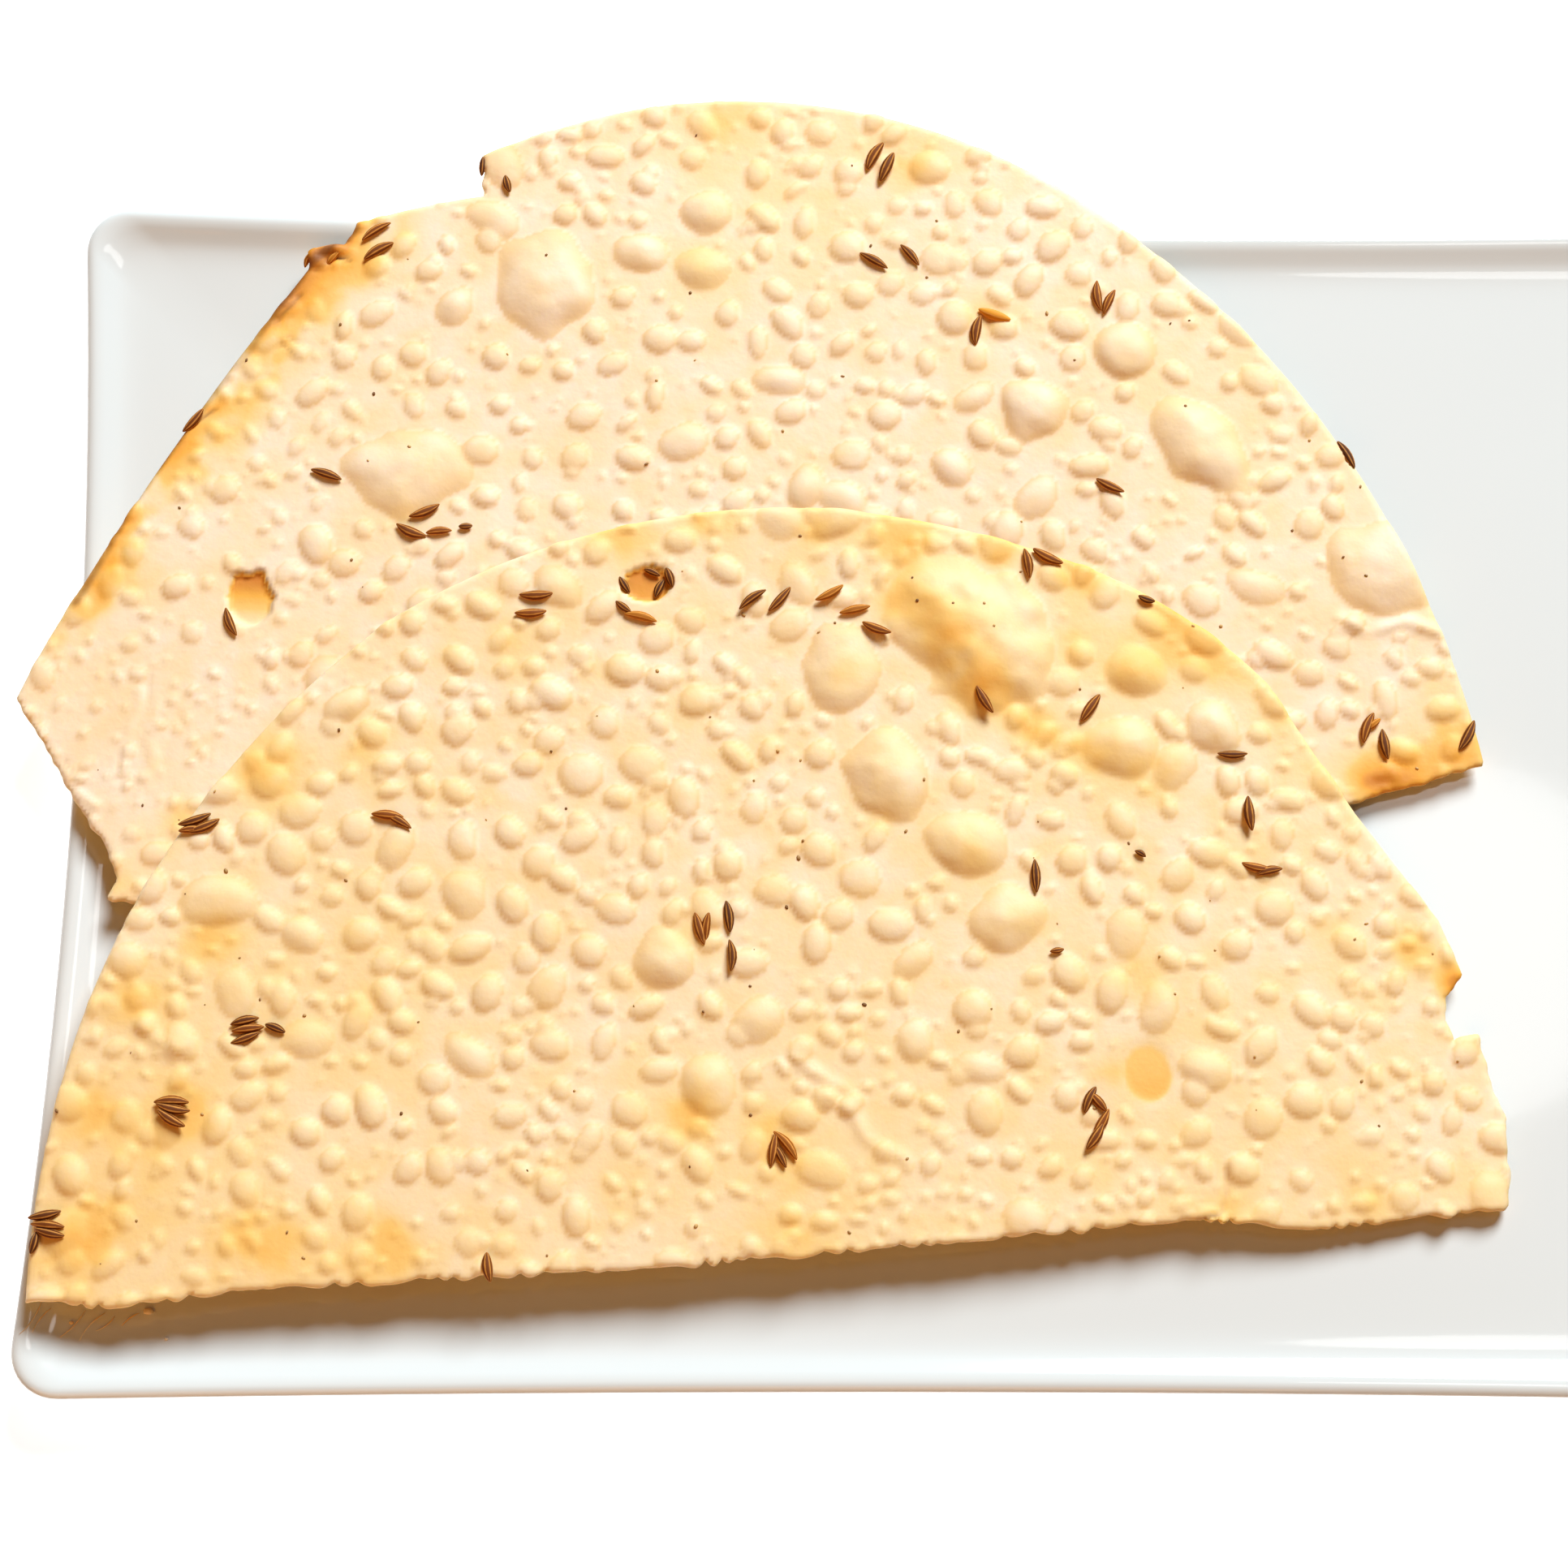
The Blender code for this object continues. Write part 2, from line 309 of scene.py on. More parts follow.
def addLight(name, direction, distance, size, power, color):
    light = bpy.data.lights.new(name, "AREA")
    light.shape = "DISK"
    light.size = size
    light.energy = power
    light.color = color
    lamp = bpy.data.objects.new(name, light)
    toLamp = Vector(direction).normalized()
    lamp.location = Vector(studio["aim"]) + toLamp * distance
    lamp.rotation_mode = "QUATERNION"
    lamp.rotation_quaternion = toLamp.to_track_quat("Z", "Y")
    bpy.context.scene.collection.objects.link(lamp)


def addAmbient():
    world = bpy.data.worlds.new("studioLight")
    world.use_nodes = True
    background = world.node_tree.nodes["Background"]
    background.inputs["Color"].default_value = studio["ambientColor"]
    background.inputs["Strength"].default_value = studio["ambient"]
    bpy.context.scene.world = world
    bpy.context.scene.view_settings.view_transform = "Standard"


addFloor()
for settings in studio["lights"]:
    addLight(*settings)
addAmbient()
print("floor and light ready")


plate = {
    "length": 294.0,
    "width": 167.2,
    "cornerRadius": 7.0,
    "innerRadius": 6.0,
    "longPinch": 1.95,      # how far the middle of a long side curves in
    "shortPinch": 2.95,
    "cornerLift": 3.0,
    "footInset": 34.0,      # the foot is flat from here inwards
    "cornerSteps": 10,
    "longSteps": 32,
    "shortSteps": 18,
    "profile": [            # (inset, height) from the foot over the low lip to the floor
        (34.0, 0.0),
        (32.0, 0.6),
        (24.0, 1.1),
        (14.0, 1.8),
        (7.0, 2.7),
        (3.0, 3.8),
        (0.8, 5.0),
        (0.0, 5.7),
        (0.3, 6.2),
        (1.1, 6.5),
        (2.2, 6.35),
        (3.4, 5.9),
        (5.0, 5.35),
        (7.0, 5.08),
        (10.0, 5.0),
        (17.0, 5.0),
        (25.0, 5.0),
        (34.0, 5.0),
    ],
    "profileSteps": 3,      # rings from one profile point to the next
    "glaze": (0.78, 0.775, 0.765, 1.0),
    "glazeShade": (0.765, 0.765, 0.76, 1.0),
    "roughness": 0.05,
    "coatWeight": 0.35,
    "coatRoughness": 0.03,
    "cloudScale": 9.0,      # patterns per metre, from coarse to fine
    "rippleScale": 22.0,
    "pinholeScale": 380.0,
    "speckleScale": 900.0,
    "rippleDepth": 0.0002,  # metres
    "pinholeDepth": 0.00002,
}


def plateRing(inset, height):
    # a rounded rectangle whose sides curve in and whose corners rise, the more the further out
    halfX = plate["length"] / 2 - inset
    halfY = plate["width"] / 2 - inset
    radius = max(plate["cornerRadius"] - inset, plate["innerRadius"])
    corners = [(1, 1), (-1, 1), (-1, -1), (1, -1)]
    sideSteps = [plate["longSteps"], plate["shortSteps"]]
    flat = []
    for index, (signX, signY) in enumerate(corners):
        centre = Vector((signX * (halfX - radius), signY * (halfY - radius)))
        for step in range(plate["cornerSteps"] + 1):
            angle = (index + step / plate["cornerSteps"]) * pi / 2
            flat.append(centre + radius * Vector((cos(angle), sin(angle))))
        nextX, nextY = corners[(index + 1) % 4]
        angle = (index + 1) * pi / 2
        start = flat[-1]
        end = Vector((nextX * (halfX - radius), nextY * (halfY - radius)))
        end += radius * Vector((cos(angle), sin(angle)))
        steps = sideSteps[index % 2]
        flat.extend(start.lerp(end, step / steps) for step in range(1, steps))
    rise = plate["cornerLift"] * (1 - inset / plate["footInset"]) ** 2
    ring = []
    for point in flat:
        along = point.x / halfX
        across = point.y / halfY
        x = point.x - along * plate["shortPinch"] * (1 - across**2)
        y = point.y - across * plate["longPinch"] * (1 - along**2)
        ring.append(Vector((x, y, height + rise * (along * across) ** 2)))
    return ring


def porcelain():
    finish = Finish("glazed_porcelain")
    coords = finish.coords()
    cloud = finish.noise(coords, plate["cloudScale"], 3.0)
    speckle = finish.noise(coords, plate["speckleScale"], 2.0)
    finish.set(baseColor=finish.mixColor(cloud, plate["glaze"], plate["glazeShade"]))
    finish.set(roughness=plate["roughness"] + 0.03 * cloud + 0.02 * speckle)
    ripple = finish.noise(coords, plate["rippleScale"], 2.0)
    pinholes = finish.noise(coords, plate["pinholeScale"], 3.0)
    waves = finish.bump(ripple, plate["rippleDepth"], 0.12)
    finish.set(normal=finish.bump(pinholes, plate["pinholeDepth"], 0.25, waves))
    finish.set(iOR=1.5, coatWeight=plate["coatWeight"], coatRoughness=plate["coatRoughness"])
    return finish.material


def smoothProfile(corners, steps):
    # a curve through all the corners, with that many points for each stretch
    ends = [corners[0]] + corners + [corners[-1]]
    points = []
    for index in range(len(corners) - 1):
        before, start, end, after = [Vector(corner) for corner in ends[index:index + 4]]
        for step in range(steps):
            t = step / steps
            curve = 2 * start + (end - before) * t
            curve += (2 * before - 5 * start + 4 * end - after) * t**2
            curve += (3 * start - before - 3 * end + after) * t**3
            points.append(curve / 2)
    return points + [Vector(corners[-1])]


def makePlate():
    bm = bmesh.new()
    rings = smoothProfile(plate["profile"], plate["profileSteps"])
    verts = [bm.verts.new(point) for point in plateRing(*rings[0])]
    loop = [bm.edges.new((verts[i - 1], verts[i])) for i in range(len(verts))]
    bm.faces.new(verts)
    for inset, height in rings[1:]:
        grown = bmesh.ops.extrude_edge_only(bm, edges=loop)
        loop = [item for item in grown["geom"] if isinstance(item, bmesh.types.BMEdge)]
        for vert, point in zip(newVerts(grown), plateRing(inset, height)):
            vert.co = point
    bmesh.ops.contextual_create(bm, geom=loop)
    bmesh.ops.recalc_face_normals(bm, faces=bm.faces)
    tree = BVHTree.FromBMesh(bm)
    finishPiece(bm, "servingPlate", porcelain(), ["plate"])
    return tree


plateTree = makePlate()
print("plate made")


# both halves are sheets with the same way of blistering and browning
sheet = {
    "thickness": 1.0,
    "spacing": 0.48,            # between the points of the fine side
    "rowStep": 0.2,             # between the lines that tell inside from outside
    "outlineStep": 0.12,
    "edgeRounding": 0.24,
    "relaxRings": 3,
    "relaxRounds": 3,
    "coarseMargin": 4,          # rings along the edge that stay fine underneath
    "clearance": 0.25,
    "undulation": 0.28,
    "undulationSize": 24.0,
}

rearHalf = {
    "name": "rearPapadum",
    "node": "papadum_rear_half",
    "slot": "pale_papadum",
    "seed": 11,
    "outline": [                # (x, y, bow to the next point, kind of edge)
        (-151.8, 10.2, 0.3, "rim"),
        (-143.7, 26.5, 0.9, "rim"),
        (-114.7, 73.9, 0.0, "torn"),
        (-115.4, 75.7, 0.4, "torn"),
        (-109.7, 77.7, 0.0, "torn"),
        (-108.1, 80.9, 0.4, "rim"),
        (-90.3, 85.3, 0.0, "torn"),
        (-90.6, 91.6, 10.8, "rim"),
        (-8.9, 87.7, 10.6, "rim"),
        (48.4, 2.7, 0.0, "torn"),
        (29.3, -3.1, 0.0, "hidden"),
        (-132.6, -18.4, 0.0, "torn"),
        (-137.7, -17.5, 0.0, "torn"),
        (-136.5, -14.7, 0.0, "torn"),
        (-138.4, -10.0, 0.0, "torn"),
        (-143.2, -3.6, 0.0, "torn"),
        (-146.4, 2.2, 0.0, "torn"),
    ],
    "blisters": [               # (x, y, length, width, turn, height)
        (-81.3, 71.7, 15.8, 14.9, 90, 1.5),
        (-99.7, 43.4, 16.9, 12.9, 0, 1.3),
        (-12.3, 53.1, 9.5, 9.1, 0, 1.5),
        (0.3, 62.2, 9.0, 8.5, 0, 1.4),
        (10.8, 48.4, 17.8, 10.7, -48, 1.7),
        (36.2, 30.3, 17.0, 14.7, 0, 1.3),
        (-58.5, 83.0, 8.1, 7.4, 0, 1.1),
        (-59.0, 74.2, 7.3, 6.8, 0, 1.0),
        (-67.7, 76.6, 7.3, 6.9, 0, 1.0),
    ],
    "bursts": [                 # (x, y, length, width, turn, depth, browning at the far and near side, the far side's darker with painted shade)
        (-120.5, 24.9, 8.2, 6.6, 90, 0.8, 1.0, 0.2),
    ],
    "bubbleGroups": [           # (how many, smallest radius, largest radius, height over radius)
        (34, 2.5, 3.2, 0.24),
        (140, 1.9, 2.5, 0.28),
        (220, 1.4, 1.9, 0.31),
        (190, 0.9, 1.4, 0.33),
        (330, 0.45, 0.9, 0.30),
    ],
    "sizeZones": [              # (x, y, reach, size factor)
        (-133.6, 4.8, 24.0, 0.50),
        (-119.5, 45.9, 20.0, 0.70),
    ],
    "creases": [                # (from, to) in pixels, height, width, painted shade, mostly in the sunk cracks
        (1650, 772, 1790, 776, 0.5, 1.0, 0.0),
        (372, 322, 392, 306, 1.3, 1.1, 0.0),
        (392, 306, 424, 308, 1.0, 0.9, 0.1),
        (392, 330, 412, 318, -0.4, 0.35, 0.8),
        (412, 318, 430, 326, -0.4, 0.35, 0.8),
        (345, 398, 372, 360, -0.2, 0.3, 0.5),
        (352, 420, 368, 434, -0.2, 0.3, 0.4),
        (362, 410, 380, 422, -0.2, 0.3, 0.4),
        (240, 528, 262, 504, -0.3, 0.35, 0.9),
        (150, 640, 166, 610, -0.2, 0.35, 0.7),
        (168, 852, 150, 955, 0.22, 0.6, 0.0),
        (182, 838, 170, 930, -0.18, 0.5, 0.0),
        (200, 860, 180, 968, 0.2, 0.6, 0.0),
        (142, 900, 148, 962, -0.14, 0.4, 0.0),
        (222, 880, 195, 940, -0.15, 0.5, 0.0),
        (164, 960, 140, 1000, 0.2, 0.5, 0.0),
        (78, 938, 92, 958, -0.35, 0.3, 0.5),
        (92, 958, 112, 962, 0.5, 0.5, 0.2),
        (100, 980, 118, 1000, 0.4, 0.6, 0.0),
    ],
    "toastSpots": [             # (pixel x, pixel y, reach, amount)
        (440, 320, 7.0, 0.55),
        (395, 335, 5.0, 0.45),
        (330, 440, 8.0, 0.30),
        (900, 160, 9.0, 0.22),
        (860, 330, 6.0, 0.20),
        (1130, 200, 6.0, 0.32),
        (1220, 390, 5.0, 0.30),
        (1800, 925, 6.0, 0.55),
        (1740, 950, 7.0, 0.55),
        (1690, 965, 6.0, 0.55),
        (1780, 860, 7.0, 0.25),
        (150, 1090, 6.0, 0.30),
        (230, 1010, 5.0, 0.30),
        (60, 860, 7.0, 0.15),
        (500, 640, 5.0, 0.22),
        (1780, 740, 6.0, 0.20),
        (1000, 200, 32.0, 0.17),
        (1550, 480, 32.0, 0.14),
        (420, 560, 26.0, 0.06),
    ],
    "toastedEdge": [(95, 745), (165, 620), (235, 520), (310, 430), (380, 330), (440, 285)],
    "toastedReach": 11.0,
    "pale": tone(252, 223, 194),
    "warm": tone(251, 215, 169),
}

frontHalf = {
    "name": "frontPapadum",
    "node": "papadum_front_half",
    "slot": "golden_papadum",
    "seed": 23,
    "outline": [
        (-144.2, -71.5, 12.2, "rim"),
        (-100.8, 20.6, 10.2, "rim"),
        (-13.4, 32.0, 2.4, "rim"),
        (18.6, 13.5, 0.0, "rim"),
        (30.2, -4.6, 0.0, "rim"),
        (41.0, -19.1, 0.0, "rim"),
        (44.0, -26.6, 0.0, "torn"),
        (42.1, -28.9, 0.0, "torn"),
        (41.4, -32.3, 0.0, "torn"),
        (42.4, -35.3, 0.0, "torn"),
        (45.8, -34.4, 0.0, "torn"),
        (47.5, -42.2, 0.0, "torn"),
        (48.9, -46.6, 0.0, "torn"),
        (49.2, -53.6, 0.0, "torn"),
        (48.2, -57.8, 0.0, "bubbly"),
        (22.3, -60.7, 0.0, "bubbly"),
        (7.0, -59.6, 0.0, "bubbly"),
        (-22.0, -62.7, 0.0, "bubbly"),
        (-67.1, -66.8, 0.0, "bubbly"),
        (-116.2, -69.7, 0.0, "bubbly"),
        (-132.2, -72.1, 0.0, "bubbly"),
    ],
    "blisters": [
        (-21.3, 19.7, 26.5, 17.5, -38, 2.5),
        (-32.9, -0.4, 13.2, 10.0, -55, 1.8),
        (-22.6, -9.8, 10.9, 9.3, 0, 1.5),
        (-17.3, -20.1, 9.8, 9.3, 0, 1.4),
        (-62.5, -26.2, 8.6, 8.6, 0, 1.3),
        (-57.0, -42.4, 8.0, 8.0, 0, 1.2),
        (-39.5, 14.3, 12.2, 9.6, 90, 1.2),
        (-121.4, -18.5, 10.7, 7.6, 0, 1.0),
        (-1.6, 4.0, 10.0, 8.5, 0, 1.4),
        (0.8, 14.3, 8.9, 7.7, 0, 1.3),
        (11.1, 6.8, 7.9, 7.9, 0, 1.2),
    ],
    "bursts": [
        (-65.9, 26.1, 7.0, 5.5, 0, 0.7, 0.85, 0.75),
        (1.2, -40.4, 9.6, 8.0, 100, 0.12, 0.40, 0.55),
    ],
    "bubbleGroups": [
        (44, 2.6, 3.3, 0.24),
        (140, 2.0, 2.6, 0.28),
        (230, 1.4, 2.0, 0.31),
        (150, 0.9, 1.4, 0.33),
        (280, 0.45, 0.9, 0.30),
    ],
    "sizeZones": [
        (-121.1, -65.6, 16.0, 0.60),
        (-90.6, -63.7, 14.0, 0.60),
        (-60.2, -61.7, 14.0, 0.62),
        (-29.8, -58.8, 14.0, 0.62),
        (0.4, -55.9, 13.0, 0.65),
        (28.3, -52.0, 16.0, 0.72),
        (36.3, -32.0, 14.0, 0.80),
    ],
    "creases": [
        (130, 1240, 222, 1292, 0.7, 1.2, 0.0),
        (975, 1300, 1040, 1345, 0.3, 0.8, 0.0),
        (1020, 1352, 1110, 1428, 0.4, 0.9, 0.0),
        (1512, 1443, 1508, 1488, -0.35, 0.35, 0.25),
        (1508, 1488, 1474, 1500, -0.4, 0.35, 0.9),
        (1494, 1500, 1534, 1504, 0.5, 0.8, 0.0),
    ],
    "toastSpots": [
        (330, 950, 9.0, 0.42),
        (450, 930, 7.0, 0.30),
        (760, 665, 7.0, 0.42),
        (880, 650, 8.0, 0.34),
        (1000, 645, 8.0, 0.36),
        (1110, 655, 8.0, 0.48),
        (1230, 665, 7.0, 0.50),
        (1330, 700, 7.0, 0.48),
        (1440, 750, 8.0, 0.46),
        (1110, 745, 6.0, 0.42),
        (1165, 800, 6.0, 0.55),
        (1215, 850, 6.0, 0.62),
        (1275, 905, 6.0, 0.60),
        (1190, 760, 9.0, 0.16),
        (1320, 800, 7.0, 0.30),
        (1340, 935, 7.0, 0.36),
        (1420, 960, 7.0, 0.40),
        (1400, 830, 7.0, 0.34),
        (1500, 820, 8.0, 0.36),
        (1580, 880, 8.0, 0.32),
        (1640, 960, 8.0, 0.30),
        (1540, 1060, 7.0, 0.25),
        (560, 760, 7.0, 0.20),
        (640, 800, 7.0, 0.24),
        (1040, 830, 5.0, 0.22),
        (1190, 1055, 7.0, 0.30),
        (1090, 1010, 5.0, 0.28),
        (850, 1150, 6.0, 0.22),
        (165, 1230, 8.0, 0.34),
        (260, 1160, 7.0, 0.32),
        (120, 1370, 7.0, 0.22),
        (230, 1370, 6.0, 0.30),
        (90, 1530, 9.0, 0.34),
        (320, 1540, 9.0, 0.30),
        (470, 1550, 9.0, 0.42),
        (620, 1530, 8.0, 0.26),
        (850, 1370, 6.0, 0.36),
        (760, 1460, 8.0, 0.18),
        (960, 1400, 6.0, 0.28),
        (1000, 1510, 8.0, 0.18),
        (1400, 1190, 6.0, 0.24),
        (1365, 1325, 4.0, 0.30),
        (1290, 1130, 6.0, 0.20),
        (1510, 1500, 5.0, 0.34),
        (1740, 1170, 6.0, 0.34),
        (1795, 1215, 4.0, 0.75),
        (1640, 1150, 6.0, 0.22),
        (1690, 1490, 8.0, 0.22),
        (1830, 1480, 6.0, 0.20),
        (200, 1480, 34.0, 0.24),
        (450, 1200, 26.0, 0.18),
        (1000, 1450, 40.0, 0.17),
        (1500, 1400, 34.0, 0.17),
    ],
    "toastedEdge": [],
    "toastedReach": 11.0,
    "pale": tone(252, 222, 187),
    "warm": tone(250, 212, 157),
}

rearFold = {
    "level": 9.0,
    "start": Vector((-150.5, 8.0)),
    "normal": Vector((0.413, -0.910)),
    "reach": 87.5,
    "drop": 1.9,
    "power": 1.6,
    "farRise": 0.004,
}

frontFold = {
    "level": 12.0,
    "left": -145.0,
    "span": 193.5,
    "slopeDrop": 2.6,
    "bendDrop": 3.6,
    "power": 5,
    "nearEdge": -63.0,
    "rise": 0.020,
}


def rearBend(x, y):
    beyond = (Vector((x, y)) - rearFold["start"]).dot(rearFold["normal"])
    if beyond < 0:
        return rearFold["level"] - rearFold["farRise"] * beyond
    return rearFold["level"] - rearFold["drop"] * (beyond / rearFold["reach"]) ** rearFold["power"]


def frontBend(x, y):
    along = max(0.0, (x - frontFold["left"]) / frontFold["span"])
    drop = frontFold["slopeDrop"] * along + frontFold["bendDrop"] * along ** frontFold["power"]
    return frontFold["level"] - drop + frontFold["rise"] * (y - frontFold["nearEdge"])


# how each kind of edge wanders: (distance, wave length, round lobes)
edgeKinds = {
    "rim": (0.10, 5.0, False),
    "torn": (0.95, 1.9, False),
    "bubbly": (0.95, 4.2, True),
    "hidden": (0.0, 5.0, False),
}

edgeWander = {
    "cornerShare": 6,           # it fades out over one part in this many next to a corner
    "fineShare": 0.5,
    "coarseShare": 0.9,
    "coarseRatio": 3.1,         # how much longer the coarse waves are
    "lobeShift": (1.9, 9),      # (amount, wave length)
    "lobeSize": (0.9, 6),
    "usualLobe": 0.65,
}


def edgeNoise(distance, size, layer, row):
    return noise.noise(Vector((distance / size, layer, row)))


def edgeOffset(distance, kind, layer):
    # how far the edge is moved outwards at that distance along it
    wander, wave, lobed = edgeKinds[kind]
    if lobed:
        shift, shiftWave = edgeWander["lobeShift"]
        variety, varietyWave = edgeWander["lobeSize"]
        turns = distance / wave + shift * edgeNoise(distance, shiftWave, layer, 0)
        size = edgeWander["usualLobe"] + variety * edgeNoise(distance, varietyWave, layer, 4)
        return wander * (abs(sin(pi * turns)) * size - 0.5)
    fine = edgeNoise(distance, wave, layer, 0)
    coarse = edgeNoise(distance / wave, edgeWander["coarseRatio"], layer, 8)
    return wander * (edgeWander["fineShare"] * fine + edgeWander["coarseShare"] * coarse)


def traceOutline(half):
    # points close together along the edge, wandering as its kind does
    corners = half["outline"]
    points = []
    distance = 0.0
    for index, (x, y, bow, kind) in enumerate(corners):
        start = Vector((x, y))
        chord = Vector(corners[(index + 1) % len(corners)][:2]) - start
        outward = Vector((-chord.y, chord.x)).normalized()
        steps = max(2, round(chord.length / sheet["outlineStep"]))
        for step in range(steps):
            share = step / steps
            fade = min(1.0, edgeWander["cornerShare"] * share, edgeWander["cornerShare"] * (1 - share))
            offset = edgeOffset(distance, kind, half["seed"]) * fade
            points.append(start + chord * share + outward * (bow * 4 * share * (1 - share) + offset))
            distance += sheet["outlineStep"]
    return points


def insideTest(outline):
    # a quick test of whether a place is inside, from where fine rows cross the outline
    step = sheet["rowStep"]
    xs, ys = toFlat(outline)
    nextX, nextY = np.roll(xs, -1), np.roll(ys, -1)
    rows = {}
    for row in range(round(ys.min() / step), round(ys.max() / step) + 1):
        level = row * step
        crossed = (ys > level) != (nextY > level)
        share = (level - ys[crossed]) / (nextY[crossed] - ys[crossed])
        rows[row] = sorted(xs[crossed] + (nextX[crossed] - xs[crossed]) * share)
    return lambda x, y: bisect(rows.get(round(y / step), []), x) % 2 == 1


def growRings(verts, rings):
    # the given points and those within that many steps of them
    found = set(verts)
    edge = set(verts)
    for _ in range(rings):
        edge = {link.other_vert(vert) for vert in edge for link in vert.link_edges} - found
        found |= edge
    return found


def trimmedGrid(outline, isInside):
    # a flat grid cut to the outline, its border drawn onto the line
    spacing = sheet["spacing"]
    low = Vector((min(p.x for p in outline), min(p.y for p in outline)))
    high = Vector((max(p.x for p in outline), max(p.y for p in outline)))
    columns = ceil((high.x - low.x) / spacing)
    rows = ceil((high.y - low.y) / spacing)
    bm = newMesh("toast", "wall", "scorch")
    bmesh.ops.create_grid(bm, x_segments=columns, y_segments=rows, size=0.5)
    bmesh.ops.scale(bm, vec=(columns * spacing, rows * spacing, 1), verts=bm.verts)
    bmesh.ops.translate(bm, vec=((low + high) / 2).to_3d(), verts=bm.verts)
    outside = [face for face in bm.faces if not isInside(*face.calc_center_median().xy)]
    bmesh.ops.delete(bm, geom=outside, context="FACES")
    loose = [face for face in bm.faces if sum(edge.is_boundary for edge in face.edges) > 2]
    bmesh.ops.delete(bm, geom=loose, context="FACES")

    tree = KDTree(len(outline))
    for index, point in enumerate(outline):
        tree.insert(point.to_3d(), index)
    tree.balance()
    border = [vert for vert in bm.verts if vert.is_boundary]
    for vert in border:
        vert.co = tree.find(vert.co)[0]
    bmesh.ops.remove_doubles(bm, verts=border, dist=sheet["outlineStep"] * 0.9)
    border = [vert for vert in bm.verts if vert.is_boundary]
    relaxed = growRings(border, sheet["relaxRings"]) - set(border)
    for _ in range(sheet["relaxRounds"]):
        bmesh.ops.smooth_vert(bm, verts=list(relaxed), factor=0.5, use_axis_x=True, use_axis_y=True)
    return bm


blistering = {
    "warp": 0.55,               # sideways bend of the outlines
    "warpSize": 5.5,
    "domePower": 0.68,
    "largeDomePower": 1.1,
    "largeBlister": 6.5,        # longer ones are lumpy and have ragged outlines
    "largeRagged": 0.5,
    "raggedSize": 4.6,
    "largeLumps": 0.14,
    "lumpSize": 2.4,
    "wallHeight": 0.45,         # a blister at least this high has its sides fully tinted with browning and painted shade
    "wallSpan": (0.3, 0.95),    # where its sides begin and end, from the middle outwards
    "topToast": 0.2,
    "tries": 40,                # for each bubble of a group
    "gaps": (-0.2, 0.7),        # least room between two, over the radius
    "heights": (0.75, 1.2),
    "stretches": (0.78, 1.0),
    "joinedShare": 0.22,        # of the bubbles have a smaller one at their side
    "joinedRadius": 1.0,        # if they are larger than this
    "joinedSizes": (0.5, 0.7),
    "underLength": 5,           # shorter ones show underneath too, as shallow dents
    "underDepth": 0.3,
}


def sizeFactor(half, x, y):
    factor = 1.0
    for zoneX, zoneY, reach, zoneFactor in half["sizeZones"]:
        near = max(0.0, 1 - hypot(x - zoneX, y - zoneY) / reach)
        factor = min(factor, 1 + (zoneFactor - 1) * min(1.0, 2 * near))
    return factor


def scatterBubbles(half, outline, isInside):
    # large blisters first, then ever smaller bubbles in the room that is left
    random = Random(half["seed"])
    low = Vector((min(p.x for p in outline), min(p.y for p in outline)))
    high = Vector((max(p.x for p in outline), max(p.y for p in outline)))
    placed = half["blisters"] + half["bursts"]
    taken = [(x, y, (length + width) / 4) for x, y, length, width, *_ in placed]
    bubbles = list(half["blisters"])
    for count, smallest, largest, rise in half["bubbleGroups"]:
        made = 0
        tries = 0
        while made < count and tries < count * blistering["tries"]:
            tries += 1
            x = random.uniform(low.x, high.x)
            y = random.uniform(low.y, high.y)
            radius = random.uniform(smallest, largest) * sizeFactor(half, x, y)
            room = np.array(taken)
            gaps = np.hypot(room[:, 0] - x, room[:, 1] - y) - room[:, 2] - radius
            if gaps.min() < random.uniform(*blistering["gaps"]) * radius or not isInside(x, y):
                continue
            taken.append((x, y, radius))
            height = radius * rise * random.uniform(*blistering["heights"])
            stretch = random.uniform(*blistering["stretches"])
            turn = random.uniform(0, 180)
            bubbles.append((x, y, 2 * radius / stretch, 2 * radius * stretch, turn, height))
            if random.random() < blistering["joinedShare"] and radius > blistering["joinedRadius"]:
                side = random.uniform(0, 2 * pi)
                small = radius * random.uniform(*blistering["joinedSizes"])
                joinedX = x + radius * cos(side)
                joinedY = y + radius * sin(side)
                bubbles.append((joinedX, joinedY, 2 * small, 2 * small, 0, small * rise))
            made += 1
    return bubbles


